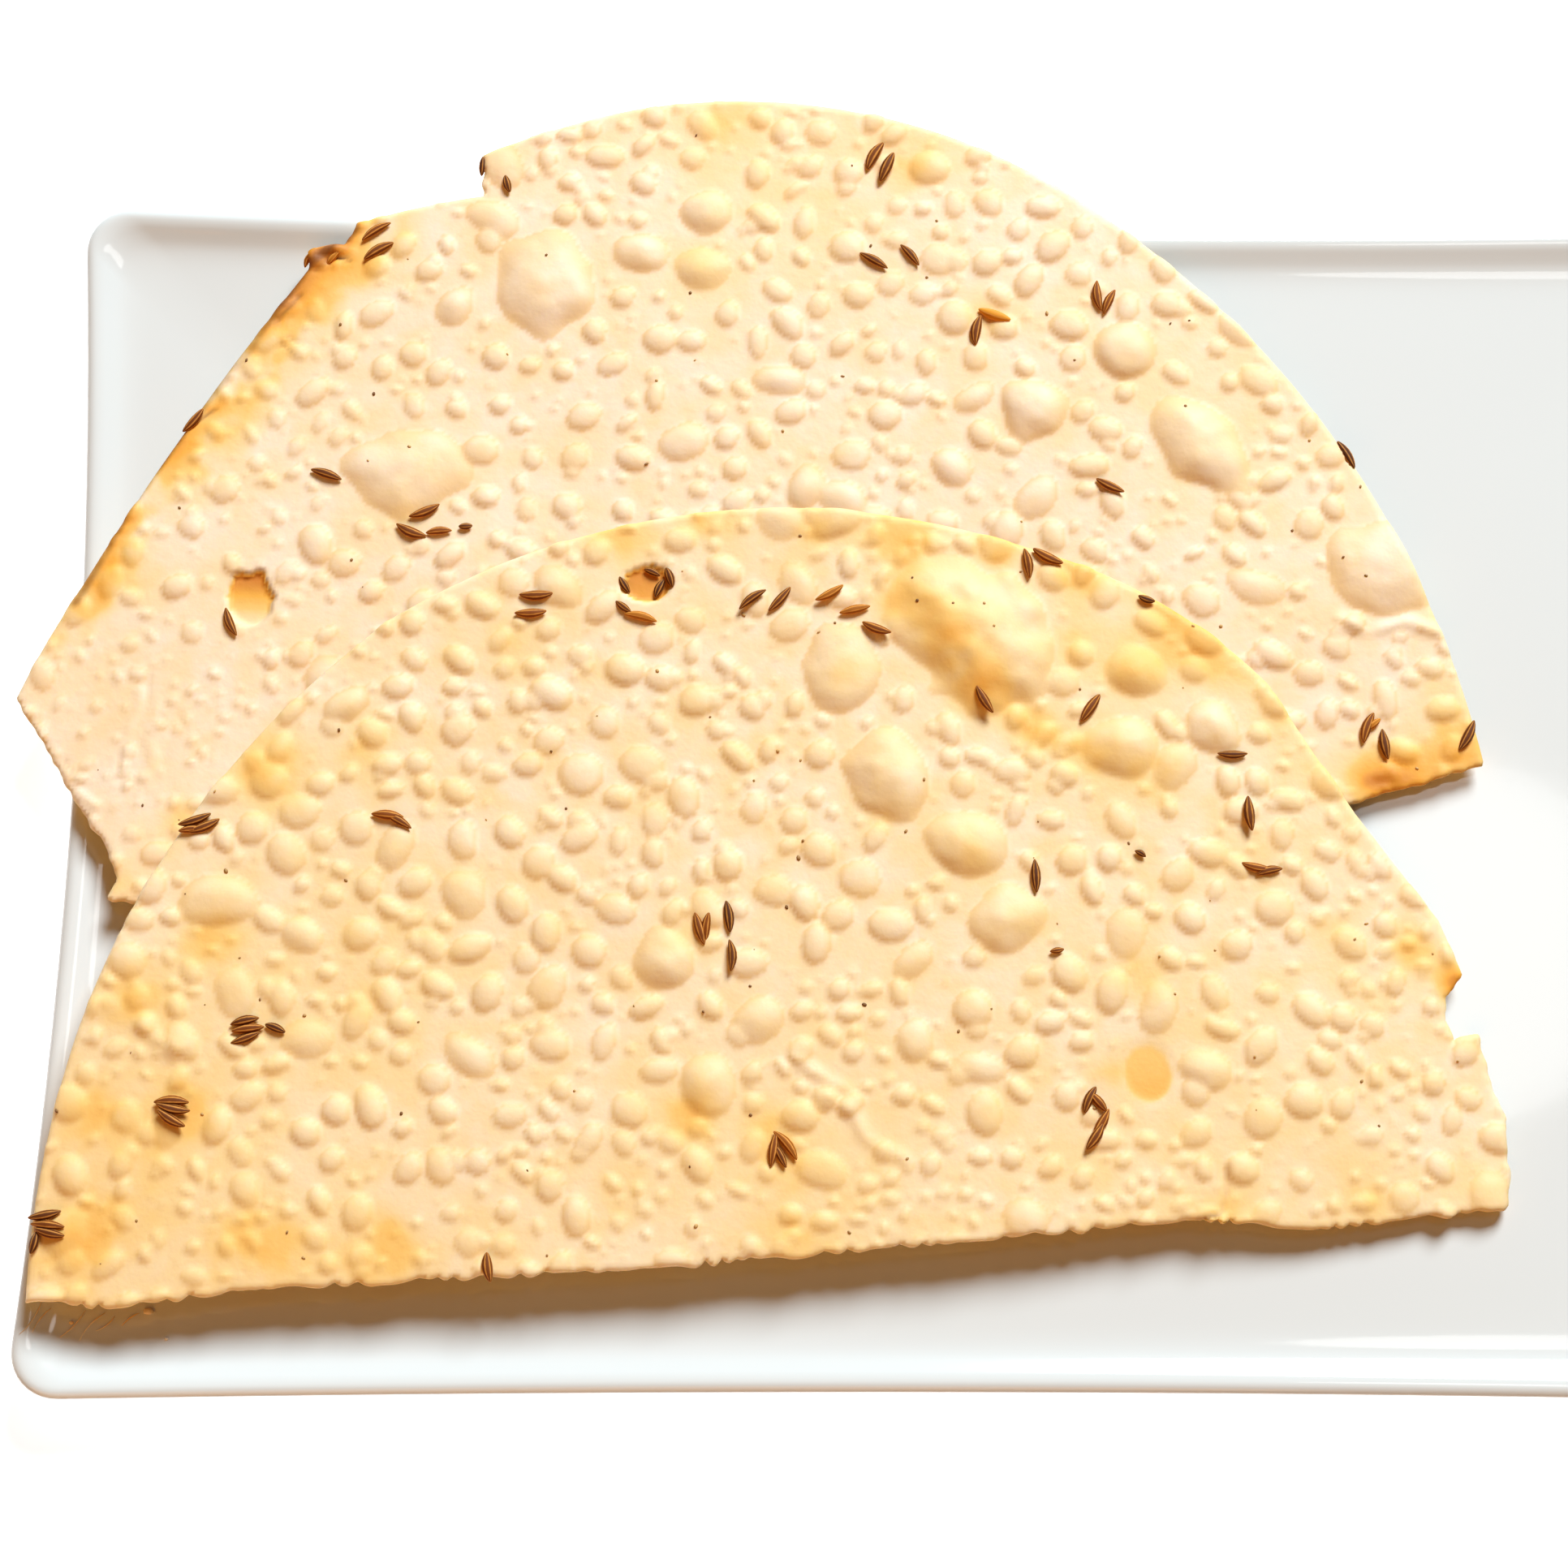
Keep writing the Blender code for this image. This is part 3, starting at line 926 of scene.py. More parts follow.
def bubbleLift(xs, ys, bubbles):
    # each bubble is a dome, and at each point the highest one counts; the dome's sides also get a tint
    # of browning and painted shade
    order = np.argsort(ys)
    sortedX = xs[order]
    sortedY = ys[order]
    lift = np.zeros(len(xs))
    wall = np.zeros(len(xs))
    for x, y, length, width, turn, height in bubbles:
        reach = max(length, width) * 0.6
        first, last = np.searchsorted(sortedY, (y - reach, y + reach))
        acrossX = sortedX[first:last] - x
        acrossY = sortedY[first:last] - y
        angle = radians(turn)
        along = acrossX * cos(angle) + acrossY * sin(angle)
        across = acrossY * cos(angle) - acrossX * sin(angle)
        share = (2 * along / length) ** 2 + (2 * across / width) ** 2
        lumps = np.zeros(len(share))
        power = blistering["domePower"]
        if length > blistering["largeBlister"]:
            near = np.flatnonzero(share < 1.4)
            nearX = acrossX[near] + x
            nearY = acrossY[near] + y
            ragged = wavy(nearX, nearY, blistering["raggedSize"], 21.5)
            share[near] *= 1 + blistering["largeRagged"] * ragged
            lumps[near] = blistering["largeLumps"] * wavy(nearX, nearY, blistering["lumpSize"], 23.5)
            power = blistering["largeDomePower"]
        dome = height * (1 + lumps) * np.clip(1 - share, 0, None) ** power
        # painted shade with browning: the tint grows from the dome's top towards its foot
        side = smoothStep(*blistering["wallSpan"], share)
        steep = blistering["topToast"] + (1 - blistering["topToast"]) * side
        steep *= min(1.0, height / blistering["wallHeight"])
        higher = dome > lift[first:last]
        wall[first:last] = np.where(higher, steep, wall[first:last])
        lift[first:last] = np.where(higher, dome, lift[first:last])
    unsorted = np.argsort(order)
    return lift[unsorted], wall[unsorted]


bursting = {
    "ragged": 0.17,
    "lobes": 3.6,
    "deep": 0.5,                # a pit at least this deep has steep, ragged sides
    "deepFloor": 0.86,          # how far the floor reaches, over the radius
    "shallowFloor": 0.62,
    "shading": (-0.45, 0.4),    # where the near side's browning ends and the far side's browning and painted shade begin
    "rimPlace": 0.98,
    "rimWidth": 0.09,
    "rimTurn": 0.3,             # the rim carries painted shade on its far right side
}


def burstPits(xs, ys, bursts):
    # ragged pits where a blister broke open: their depth, their browning with painted shade on the far
    # side, and their dark rims with painted shade on the far right
    depth = np.zeros(len(xs))
    toast = np.zeros(len(xs))
    rim = np.zeros(len(xs))
    for x, y, length, width, turn, deep, farToastAndShade, nearToastAndShade in bursts:
        angle = radians(turn)
        along = (xs - x) * cos(angle) + (ys - y) * sin(angle)
        across = (ys - y) * cos(angle) - (xs - x) * sin(angle)
        share = np.hypot(2 * along / length, 2 * across / width)
        near = np.flatnonzero(share < 2)
        around = np.arctan2(ys[near] - y, xs[near] - x)
        raggedness = bursting["ragged"] * (1 + np.sin(around)) * min(1.0, deep / bursting["deep"])
        lobes = bursting["lobes"]
        share[near] *= 1 + raggedness * wavy(lobes * np.cos(around), lobes * np.sin(around), 1.0, x)
        floorReach = bursting["deepFloor"] if deep > bursting["deep"] else bursting["shallowFloor"]
        floor = 1 - smoothStep(floorReach, 1.0, share)
        depth = np.maximum(depth, deep * floor)
        # painted shade: the pit's far side, turned away from the light, is browner than its near side
        farness = smoothStep(*bursting["shading"], (ys - y) / length)
        toast = np.where(floor > 0, (nearToastAndShade + (farToastAndShade - nearToastAndShade) * farness) * floor, toast)
        edge = np.exp(-((share - bursting["rimPlace"]) / bursting["rimWidth"]) ** 2)
        # painted shade: only the rim's far right side stays dark
        edge *= np.clip((xs - x + ys - y) / length + bursting["rimTurn"], 0, 1)
        rim = np.maximum(rim, edge * deep)
    return depth, toast, rim


creasing = {
    "wander": 1.3,
    "wanderSize": 5.0,
    "strength": 0.7,
    "variety": 0.8,
    "varietySize": 3.0,
}


def lineDistance(xs, ys, start, end):
    # how far each point is from a straight stretch
    along = end - start
    share = ((xs - start.x) * along.x + (ys - start.y) * along.y) / along.length_squared
    share = np.clip(share, 0, 1)
    return np.hypot(xs - start.x - share * along.x, ys - start.y - share * along.y)


def creaseLift(half, bend, xs, ys):
    # narrow folds that stand up from the sheet, cracks that sink in, and the painted shade that
    # darkens them, mostly the sunk cracks
    bentX = xs + creasing["wander"] * wavy(xs, ys, creasing["wanderSize"], 41.5)
    bentY = ys + creasing["wander"] * wavy(xs, ys, creasing["wanderSize"], 43.5)
    faded = wavy(bentX, bentY, creasing["varietySize"], 45.5)
    faded = creasing["strength"] + creasing["variety"] * faded
    lift = np.zeros(len(xs))
    # painted shade along the creases, deepest in the sunk cracks
    dark = np.zeros(len(xs))
    for fromX, fromY, toX, toY, height, width, crackShade in half["creases"]:
        start = spotOn(fromX, fromY, bend).xy
        end = spotOn(toX, toY, bend).xy
        profile = faded * np.exp(-(lineDistance(bentX, bentY, start, end) / width) ** 2)
        lift = np.where(abs(height * profile) > abs(lift), height * profile, lift)
        dark = np.maximum(dark, crackShade * profile)
    return lift, dark


toasting = {
    "patches": (0.4, 6.0, 11.5),        # noise as (amount, size, layer)
    "freckles": (0.2, 1.9, 13.5),
    "streaks": (1.1, 9.0, 31.5),
    "fineStreaks": (0.5, 2.2, 33.5),
    "undersideClouds": (0.3, 9.0, 17.5),
    "overlap": 0.3,                     # how much less a second spot adds
    "edgeAmount": 0.92,
    "edgePower": 1.1,
    "usualStreak": 0.55,
    "leastStreak": 0.1,
    "scorchWidth": 0.7,
    "scorchBase": 0.3,
    "scorchStreaks": 0.5,
    "underside": 0.42,
}


def toastNoise(name, xs, ys):
    amount, size, layer = toasting[name]
    return amount * wavy(xs, ys, size, layer)


def toastAmount(half, bend, xs, ys):
    # how brown each point is, and how scorched
    toast = np.zeros(len(xs))
    for pixelX, pixelY, reach, amount in half["toastSpots"]:
        spot = spotOn(pixelX, pixelY, bend)
        distance = np.hypot(xs - spot.x, ys - spot.y)
        toast += amount * np.exp(-(distance / reach) ** 2 * 2) * (1 - toasting["overlap"] * toast)
    toast *= 1 + toastNoise("patches", xs, ys) + toastNoise("freckles", xs, ys)
    scorch = np.zeros(len(xs))
    edge = [spotOn(x, y, bend).xy for x, y in half["toastedEdge"]]
    streaks = toastNoise("streaks", xs, ys)
    streaks = toasting["usualStreak"] + streaks + toastNoise("fineStreaks", xs, ys)
    streaks = np.clip(streaks, toasting["leastStreak"], 1)
    for start, end in zip(edge, edge[1:]):
        distance = lineDistance(xs, ys, start, end)
        strip = np.clip(1 - distance / half["toastedReach"], 0, 1) ** toasting["edgePower"]
        toast = np.maximum(toast, toasting["edgeAmount"] * strip * streaks)
        burnt = np.clip(1.5 - distance / toasting["scorchWidth"], 0, 1)
        burnt *= toasting["scorchBase"] + toasting["scorchStreaks"] * streaks
        scorch = np.maximum(scorch, burnt)
    return np.clip(toast, 0, 1), scorch


def paintVerts(bm, name, verts, values):
    layer = bm.verts.layers.float[name]
    for vert, value in zip(verts, values):
        vert[layer] = value


def makeHalf(half, bend, cover=None):
    outline = traceOutline(half)
    isInside = insideTest(outline)
    bm = trimmedGrid(outline, isInside)
    bubbles = scatterBubbles(half, outline, isInside)
    grown = bmesh.ops.extrude_face_region(bm, geom=bm.faces[:], use_keep_orig=True)
    top = newVerts(grown)
    isTop = set(top)
    topEdge = {v for v in top if any(link.other_vert(v) not in isTop for link in v.link_edges)}
    bottomEdge = {link.other_vert(v) for v in topEdge for link in v.link_edges} - isTop
    inner = set(bm.verts) - isTop - growRings(bottomEdge, sheet["coarseMargin"])
    bmesh.ops.unsubdivide(bm, verts=list(inner), iterations=2)
    bottom = [vert for vert in bm.verts if vert not in isTop]

    xs, ys = toFlat([vert.co for vert in top])
    warpX = xs + blistering["warp"] * wavy(xs, ys, blistering["warpSize"], 1.5)
    warpY = ys + blistering["warp"] * wavy(xs, ys, blistering["warpSize"], 7.5)
    lift, wall = bubbleLift(warpX, warpY, bubbles)
    pit, pitToastAndShade, pitRimBrownAndShade = burstPits(xs, ys, half["bursts"])
    swell = sheet["undulation"] * (1 + wavy(xs, ys, sheet["undulationSize"], 3.5))
    level = np.array([bend(x, y) for x, y in zip(xs, ys)])
    crease, dark = creaseLift(half, bend, xs, ys)
    height = level + sheet["thickness"] / 2 + swell + lift + crease - pit
    if cover:
        coverBend, isCovered = cover
        under = np.array([isCovered(x, y) for x, y in zip(xs, ys)])
        ceiling = np.array([coverBend(x, y) for x, y in zip(xs, ys)])
        ceiling += swell - sheet["thickness"] / 2 - sheet["clearance"] * 2
        height = np.where(under, np.minimum(height, ceiling), height)
    for vert, z in zip(top, height):
        vert.co.z = z
    for vert in topEdge:
        vert.co.z -= sheet["edgeRounding"]
    toast, scorch = toastAmount(half, bend, xs, ys)
    # the pits' browning and painted shade join the toast; the pit rims' and creases' painted shade
    # joins the scorch
    toast = np.maximum(toast, pitToastAndShade)
    scorch = np.maximum(scorch, np.maximum(pitRimBrownAndShade, dark))

    xs, ys = toFlat([vert.co for vert in bottom])
    small = [bubble for bubble in bubbles if bubble[2] < blistering["underLength"]]
    under, _ = bubbleLift(-xs + 2 * xs.mean(), ys, small)    # another pattern than the top's
    swell = sheet["undulation"] * (1 + wavy(xs, ys, sheet["undulationSize"], 3.5))
    for vert, wave, bump in zip(bottom, swell, under):
        level = bend(vert.co.x, vert.co.y) - sheet["thickness"] / 2
        vert.co.z = level + wave - blistering["underDepth"] * bump
    for vert in bottomEdge:
        if vert.is_valid:
            vert.co.z += sheet["edgeRounding"]
    bottomToast = toasting["underside"] + toastNoise("undersideClouds", xs, ys)
    for name, topValues, bottomValues in (
        ("toast", toast, bottomToast),
        ("wall", wall, np.zeros(len(bottom))),
        ("scorch", scorch, np.zeros(len(bottom))),
    ):
        paintVerts(bm, name, top, topValues)
        paintVerts(bm, name, bottom, bottomValues)
    bmesh.ops.recalc_face_normals(bm, faces=bm.faces)
    tree = BVHTree.FromBMesh(bm)
    finishPiece(bm, half["name"], bread(half), [half["node"]])
    return tree, isInside


breadLook = {
    "mottleScale": 160.0,       # patterns per metre
    "blotchScale": 45.0,
    "pimpleScale": 520.0,
    "grainScale": 1500.0,
    "pimpleDepth": 0.00012,     # metres
    "grainDepth": 0.00005,
    "roughness": 0.52,
    "glowWeight": 0.22,         # light that passes through the thin sheet
    "glowRadius": (0.8, 0.9, 0.25),
    "glowScale": 0.0012,
    # darker, more golden tone of the bubbles' sides: browning and painted shade
    "wallTone": tone(234, 185, 112),
    "wallAmount": 0.55,
    "browning": [               # (toast, tone)
        (0.0, tone(250, 216, 156)),
        (0.35, tone(250, 200, 116)),
        (0.7, tone(248, 172, 60)),
        (1.0, tone(202, 112, 6)),
    ],
    # also the tone of the painted shade in pit rims and creases
    "scorch": tone(122, 66, 14),
    "scorchAmount": 1.6,
}


def bread(half):
    finish = Finish(half["slot"])
    coords = finish.coords()
    mottle = finish.noise(coords, breadLook["mottleScale"], 3.0)
    blotch = finish.noise(coords, breadLook["blotchScale"], 2.0)
    toast = finish.attribute("toast")
    wall = finish.attribute("wall")
    color = finish.mixColor(finish.span(mottle, 0.35, 0.65), half["pale"], half["warm"])
    # bubble sides tinted darker and more golden, part browning and part painted shade
    color = finish.mixColor(wall * breadLook["wallAmount"], color, breadLook["wallTone"])
    uneven = toast * (0.7 + 0.6 * blotch)
    browned = finish.ramp(uneven, breadLook["browning"])
    color = finish.mixColor(finish.span(uneven, 0.02, 0.4), color, browned)
    # the scorched edge, with the painted shade of pit rims and creases, in one dark tone
    scorchAndShade = finish.attribute("scorch") * mottle * breadLook["scorchAmount"]
    finish.set(baseColor=finish.mixColor(scorchAndShade, color, breadLook["scorch"]))
    finish.set(roughness=breadLook["roughness"] + 0.2 * mottle)
    grain = finish.noise(coords, breadLook["grainScale"], 3.0)
    pimples = finish.noise(coords, breadLook["pimpleScale"], 2.0)
    soft = finish.bump(pimples, breadLook["pimpleDepth"], 0.5)
    finish.set(normal=finish.bump(grain, breadLook["grainDepth"], 0.5, soft))
    finish.set(subsurfaceWeight=breadLook["glowWeight"], subsurfaceRadius=breadLook["glowRadius"])
    finish.set(subsurfaceScale=breadLook["glowScale"])
    return finish.material


isUnderFront = insideTest(traceOutline(frontHalf))
rearTree, isOnRear = makeHalf(rearHalf, rearBend, (frontBend, isUnderFront))
frontTree, isOnFront = makeHalf(frontHalf, frontBend)
print("papadum halves made")


seeds = {
    "name": "cuminSeeds",
    "length": 4.9,
    "width": 1.45,
    "around": 12,
    "rows": 9,
    "ribs": 6,
    "sunk": 0.12,               # how deep a seed lies in the sheet
    "tip": 0.10,                # girth at the tips, over the largest
    "groove": 0.84,             # girth between the ribs
    "ribHeight": 0.18,
    "flatness": 0.82,
    "fullness": 1.9,
    "closed": 0.999,            # share of the half length from which a tip is closed
    "upright": 2,               # how much more a seed stands straight up than off the sheet
    "girths": (0.88, 1.1),
    "bends": (-0.16, 0.16),
    "tapers": (0.75, 1.0),
    "rest": 0.41,               # how high its middle lies, over the width
    "grainScale": 900.0,
    "grainDepth": 0.00008,
    "rear": [                   # (pixel x, pixel y, turn, share of the full length, lightness)
        (463, 285, 35, 1.0, 0.45),
        (466, 309, 33, 1.0, 0.35),
        (240, 520, 52, 0.9, 0.3),
        (625, 228, -75, 0.55, 0.1),
        (595, 207, -88, 0.6, 0.0),
        (1076, 193, 62, 1.0, 0.35),
        (1092, 207, 66, 1.0, 0.25),
        (1077, 322, -32, 0.95, 0.2),
        (1122, 315, -52, 0.85, 0.2),
        (1351, 366, -84, 0.95, 0.45),
        (1365, 373, 66, 0.85, 0.5),
        (1202, 408, 80, 0.95, 0.3),
        (1225, 390, -22, 1.0, 0.9),
        (1367, 601, -32, 0.9, 0.3),
        (1689, 543, -70, 0.95, 0.0),
        (403, 585, -20, 0.95, 0.15),
        (524, 632, 24, 0.95, 0.35),
        (506, 657, -24, 0.95, 0.3),
        (541, 655, 6, 0.75, 0.5),
        (574, 650, 4, 0.4, 0.1),
        (283, 768, -68, 0.9, 0.2),
        (1683, 897, 70, 0.95, 0.4),
        (1705, 918, -82, 0.9, 0.15),
        (1692, 893, 40, 0.5, 0.7),
        (1808, 908, 62, 1.0, 0.15),
        (372, 322, 70, 0.5, 0.6),
        (410, 318, 48, 0.55, 0.7),
    ],
    "front": [
        (661, 735, 2, 0.95, 0.35),
        (654, 757, 4, 0.9, 0.5),
        (768, 749, -38, 0.55, 0.15),
        (790, 760, -14, 0.95, 0.65),
        (768, 722, -58, 0.55, 0.0),
        (812, 726, 66, 0.6, 0.0),
        (826, 712, -70, 0.6, 0.1),
        (804, 706, -24, 0.5, 0.1),
        (926, 738, 38, 0.95, 0.15),
        (961, 740, 50, 0.95, 0.25),
        (1023, 733, 30, 0.9, 0.6),
        (1053, 752, 14, 0.9, 0.6),
        (1080, 776, -24, 0.9, 0.4),
        (1212, 863, -60, 0.9, 0.3),
        (1343, 873, 56, 0.95, 0.35),
        (1518, 931, 0, 0.85, 0.1),
        (1538, 1003, -86, 1.0, 0.2),
        (1547, 1070, -12, 0.85, 0.5),
        (1563, 1073, 14, 0.75, 0.3),
        (1276, 1080, -88, 0.95, 0.05),
        (1267, 695, -80, 0.9, 0.35),
        (1290, 688, -28, 0.95, 0.4),
        (1412, 740, -20, 0.5, 0.0),
        (241, 1012, 20, 0.95, 0.1),
        (252, 1020, 24, 0.95, 0.25),
        (236, 1022, 6, 0.7, 0.4),
        (478, 1005, -6, 0.9, 0.5),
        (492, 1012, -30, 0.85, 0.3),
        (862, 1145, -74, 0.95, 0.35),
        (870, 1142, 84, 0.8, 0.5),
        (898, 1130, -84, 0.9, 0.0),
        (903, 1178, -86, 0.9, 0.15),
        (302, 1258, 14, 0.8, 0.1),
        (306, 1268, 8, 0.9, 0.35),
        (303, 1280, 22, 0.85, 0.2),
        (340, 1267, -22, 0.6, 0.0),
        (212, 1357, 0, 0.95, 0.3),
        (213, 1368, -12, 0.95, 0.2),
        (210, 1380, -32, 0.9, 0.25),
        (56, 1498, 12, 0.9, 0.1),
        (60, 1510, -6, 0.95, 0.3),
        (62, 1520, -14, 0.85, 0.15),
        (43, 1532, 78, 0.6, 0.0),
        (600, 1562, -84, 0.8, 0.3),
        (953, 1417, 82, 0.95, 0.45),
        (970, 1410, -52, 1.0, 0.55),
        (962, 1425, -64, 0.7, 0.2),
        (1341, 1355, 66, 0.8, 0.2),
        (1353, 1358, -50, 0.7, 0.35),
        (1357, 1385, 60, 0.9, 0.5),
        (1350, 1402, 58, 0.85, 0.3),
        (1405, 1052, -30, 0.35, 0.0),
        (1302, 1172, 10, 0.4, 0.3),
    ],
    "dark": tone(78, 34, 4),
    "brown": tone(166, 84, 12),
    "ridge": tone(240, 160, 72),
    "orange": tone(238, 156, 36),
}


def shapeSeed(verts, random, share):
    # a slim bent spindle with ribs along it, lying on the ground with its length along x
    half = seeds["length"] / 2 * share
    girth = seeds["width"] / 2 * (0.5 + 0.5 * share) * random.uniform(*seeds["girths"])
    bend = random.uniform(*seeds["bends"])
    taper = random.uniform(*seeds["tapers"])
    ridges = []
    for vert in verts:
        along = vert.co.z                        # the sphere's poles become the tips
        angle = np.arctan2(vert.co.y, vert.co.x)
        rib = 0.5 + 0.5 * cos(seeds["ribs"] * angle)
        full = max(0.0, 1 - abs(along) ** seeds["fullness"]) ** taper
        radius = girth * (seeds["tip"] + (1 - seeds["tip"]) * full)
        radius *= seeds["groove"] + seeds["ribHeight"] * rib
        if abs(along) > seeds["closed"]:
            radius = 0.0
        x = half * along
        y = radius * cos(angle) + bend * half * along * along
        z = seeds["flatness"] * radius * sin(angle)
        vert.co = Vector((x, y, z))
        ridges.append(rib)
    return ridges


def addSeed(bm, random, place, normal, turn, share, lightness):
    sides, rows = seeds["around"], seeds["rows"]
    verts = bmesh.ops.create_uvsphere(bm, u_segments=sides, v_segments=rows, radius=1)["verts"]
    ridges = shapeSeed(verts, random, share)
    right, up, _ = cameraAxes()
    direction = right * cos(radians(turn)) + up * sin(radians(turn))
    lengthwise = (direction - normal * direction.dot(normal)).normalized()
    sideways = normal.cross(lengthwise)
    centre = place + normal * (seeds["width"] * seeds["rest"] - seeds["sunk"])
    frameTurn = Matrix((lengthwise, sideways, normal)).transposed().to_4x4()
    bmesh.ops.transform(bm, matrix=Matrix.Translation(centre) @ frameTurn, verts=verts)
    paintVerts(bm, "ridge", verts, ridges)
    paintVerts(bm, "lightness", verts, [lightness] * len(verts))


def seedSkin():
    finish = Finish("cumin_seed")
    coords = finish.coords()
    ridge = finish.attribute("ridge")
    lightness = finish.attribute("lightness")
    grain = finish.noise(coords, seeds["grainScale"], 3.0)
    body = finish.mixColor(lightness, seeds["dark"], seeds["brown"])
    body = finish.mixColor(finish.span(lightness, 0.5, 1.0), body, seeds["orange"])
    ribs = finish.span(ridge * (0.6 + 0.8 * grain), 0.45, 0.9) * (0.6 + 0.4 * lightness)
    finish.set(baseColor=finish.mixColor(ribs, body, seeds["ridge"]))
    finish.set(roughness=0.55 + 0.3 * grain, specularIORLevel=0.25)
    finish.set(normal=finish.bump(grain, seeds["grainDepth"], 0.6))
    return finish.material


def makeSeeds():
    random = Random(31)
    bm = newMesh("ridge", "lightness")
    for side, tree, bend in (("rear", rearTree, rearBend), ("front", frontTree, frontBend)):
        for pixelX, pixelY, turn, share, lightness in seeds[side]:
            place, normal, _, _ = tree.ray_cast(cameraPlace(), rayThrough(pixelX, pixelY))
            if place is None:                    # just past the edge: the nearest place on the sheet
                target = spotOn(pixelX, pixelY, bend)
                place, normal, _, _ = tree.find_nearest(target)
            normal = (normal + Vector((0, 0, seeds["upright"]))).normalized()
            addSeed(bm, random, place, normal, turn, share, lightness)
    bmesh.ops.remove_doubles(bm, verts=bm.verts, dist=0.001)
    bmesh.ops.recalc_face_normals(bm, faces=bm.faces)
    finishPiece(bm, seeds["name"], seedSkin())


makeSeeds()
print("seeds made")


# dark specks of spice
specks = {
    "name": "spiceSpecks",
    "count": 120,
    "smallest": 0.12,
    "largest": 0.30,
    "fieldX": (-148, 50),
    "fieldY": (-70, 98),
    "lengthStretch": (0.8, 1.6),
    "widthStretch": (0.7, 1.1),
    "flatness": 0.5,
    "raised": 0.15,             # over the size
    "patchScale": 60.0,
    "dark": tone(128, 84, 40),
    "light": tone(206, 160, 98),
}


def speckSkin():
    finish = Finish("spice_speck")
    coords = finish.coords()
    patch = finish.noise(coords, specks["patchScale"], 1.0)
    share = finish.span(patch, 0.4, 0.6)
    finish.set(baseColor=finish.mixColor(share, specks["dark"], specks["light"]))
    finish.set(roughness=0.6 + 0.2 * patch)
    return finish.material


def makeSpecks():
    random = Random(47)
    bm = bmesh.new()
    made = 0
    while made < specks["count"]:
        x = random.uniform(*specks["fieldX"])
        y = random.uniform(*specks["fieldY"])
        tree = frontTree if isOnFront(x, y) else rearTree
        place, normal, _, _ = tree.ray_cast(Vector((x, y, 100)), Vector((0, 0, -1)))
        if place is None:
            continue
        size = random.uniform(specks["smallest"], specks["largest"])
        verts = bmesh.ops.create_icosphere(bm, subdivisions=1, radius=size)["verts"]
        length = random.uniform(*specks["lengthStretch"])
        width = random.uniform(*specks["widthStretch"])
        bmesh.ops.scale(bm, vec=(length, width, specks["flatness"]), verts=verts)
        turn = Matrix.Rotation(random.uniform(0, 2 * pi), 4, "Z")
        move = Matrix.Translation(place + normal * size * specks["raised"])
        upright = normal.to_track_quat("Z", "Y").to_matrix().to_4x4()
        bmesh.ops.transform(bm, matrix=move @ upright @ turn, verts=verts)
        made += 1
    finishPiece(bm, specks["name"], speckSkin())


makeSpecks()
print("specks made")


# threads and flakes of bread that fell on the plate
crumbs = {
    "name": "breadCrumbs",
    "threads": [                # (from, to) in pixels, bow
        (24, 1644, 52, 1603, 0.4),
        (40, 1642, 64, 1612, -0.3),
        (74, 1648, 106, 1614, 0.3),
        (98, 1652, 130, 1618, -0.4),
        (118, 1640, 142, 1622, 0.3),
        (150, 1634, 172, 1618, -0.2),
    ],
    "threadWidth": 0.2,
    "threadPoints": 7,
    "threadSides": 6,
    "threadLift": 0.6,          # over the width, above the plate
    "flakes": [                 # (pixel x, pixel y, size)
        (183, 1616, 0.5),
        (205, 1650, 0.2),
        (88, 1630, 0.25),
    ],
    "flakeShape": (1.3, 0.9, 0.6),
    "raggedness": 0.5,
    "raggedDetail": 2.5,
    "patchScale": 90.0,
    "roughness": 0.7,
    "pale": tone(255, 240, 215),
    "orange": tone(250, 190, 100),
}


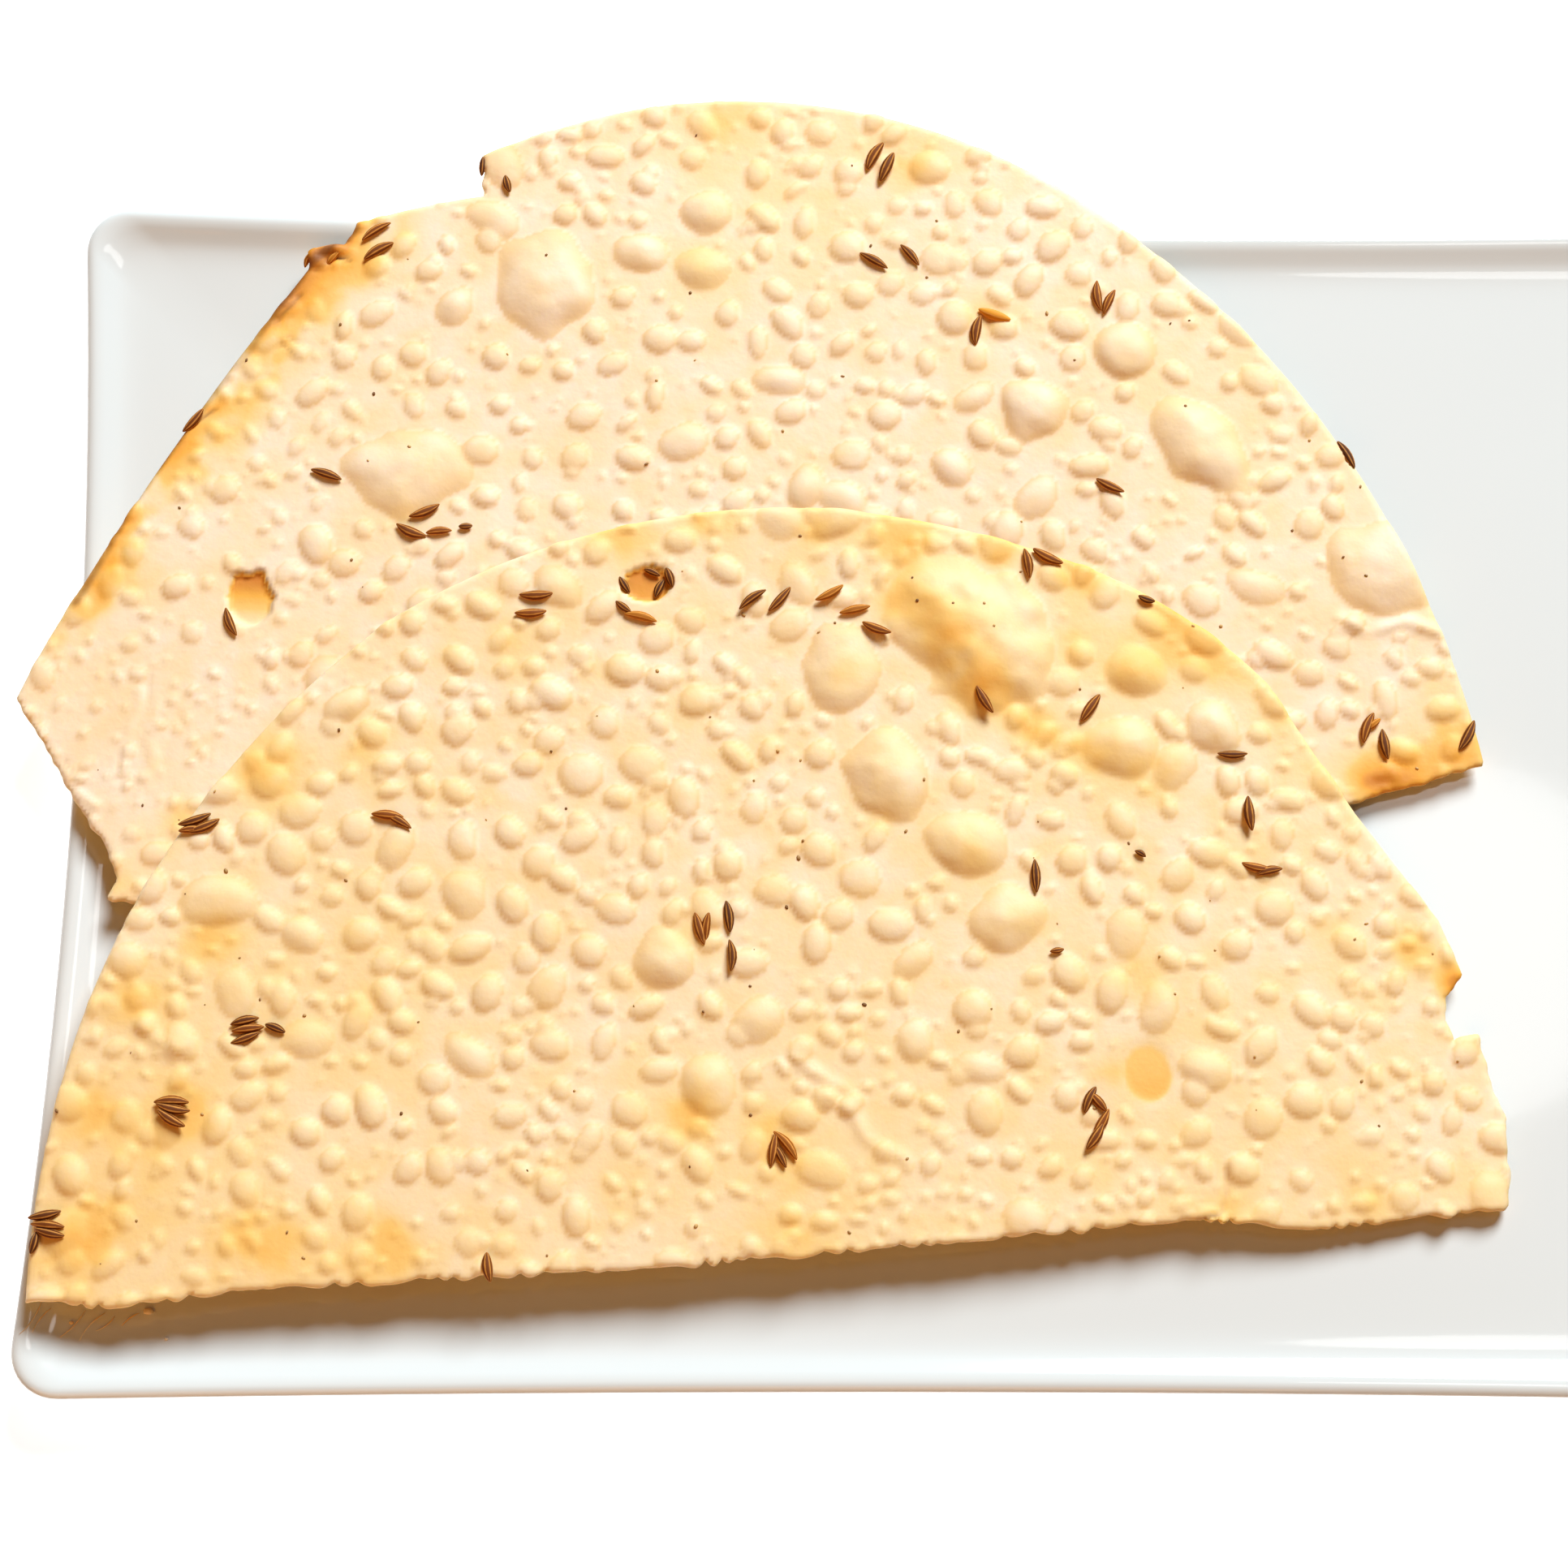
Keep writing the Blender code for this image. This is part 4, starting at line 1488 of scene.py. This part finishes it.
def addThread(bm, start, end, bow):
    sideways = (end - start).cross(Vector((0, 0, 1))).normalized()
    rings = []
    for step in range(crumbs["threadPoints"]):
        share = step / (crumbs["threadPoints"] - 1)
        taper = 0.3 + 2.8 * share * (1 - share)
        middle = start.lerp(end, share) + sideways * bow * 4 * share * (1 - share)
        ring = []
        for side in range(crumbs["threadSides"]):
            angle = 2 * pi * side / crumbs["threadSides"]
            around = sideways * cos(angle) + Vector((0, 0, sin(angle)))
            ring.append(bm.verts.new(middle + around * taper * crumbs["threadWidth"] / 2))
        rings.append(ring)
    for lower, upper in zip(rings, rings[1:]):
        for side in range(crumbs["threadSides"]):
            bm.faces.new((lower[side - 1], lower[side], upper[side], upper[side - 1]))
    bm.faces.new(rings[0])
    bm.faces.new(rings[-1])


def makeCrumbs():
    finish = Finish("bread_crumb")
    coords = finish.coords()
    patch = finish.noise(coords, crumbs["patchScale"], 2.0)
    share = finish.span(patch, 0.5, 0.7)
    finish.set(baseColor=finish.mixColor(share, crumbs["pale"], crumbs["orange"]))
    finish.set(roughness=crumbs["roughness"])
    random = Random(53)
    lift = Vector((0, 0, crumbs["threadWidth"] * crumbs["threadLift"]))
    bm = bmesh.new()
    for fromX, fromY, toX, toY, bow in crumbs["threads"]:
        start = plateTree.ray_cast(cameraPlace(), rayThrough(fromX, fromY))[0] + lift
        end = plateTree.ray_cast(cameraPlace(), rayThrough(toX, toY))[0] + lift * random.uniform(1, 3)
        addThread(bm, start, end, bow)
    for pixelX, pixelY, size in crumbs["flakes"]:
        place = plateTree.ray_cast(cameraPlace(), rayThrough(pixelX, pixelY))[0]
        verts = bmesh.ops.create_icosphere(bm, subdivisions=2, radius=size)["verts"]
        for vert in verts:
            lump = noise.noise(vert.co * crumbs["raggedDetail"] / size)
            vert.co *= 1 + crumbs["raggedness"] * lump
        bmesh.ops.scale(bm, vec=crumbs["flakeShape"], verts=verts)
        bmesh.ops.translate(bm, vec=place + Vector((0, 0, size * 0.5)), verts=verts)
    bmesh.ops.recalc_face_normals(bm, faces=bm.faces)
    finishPiece(bm, crumbs["name"], finish.material)


makeCrumbs()
print("crumbs made")
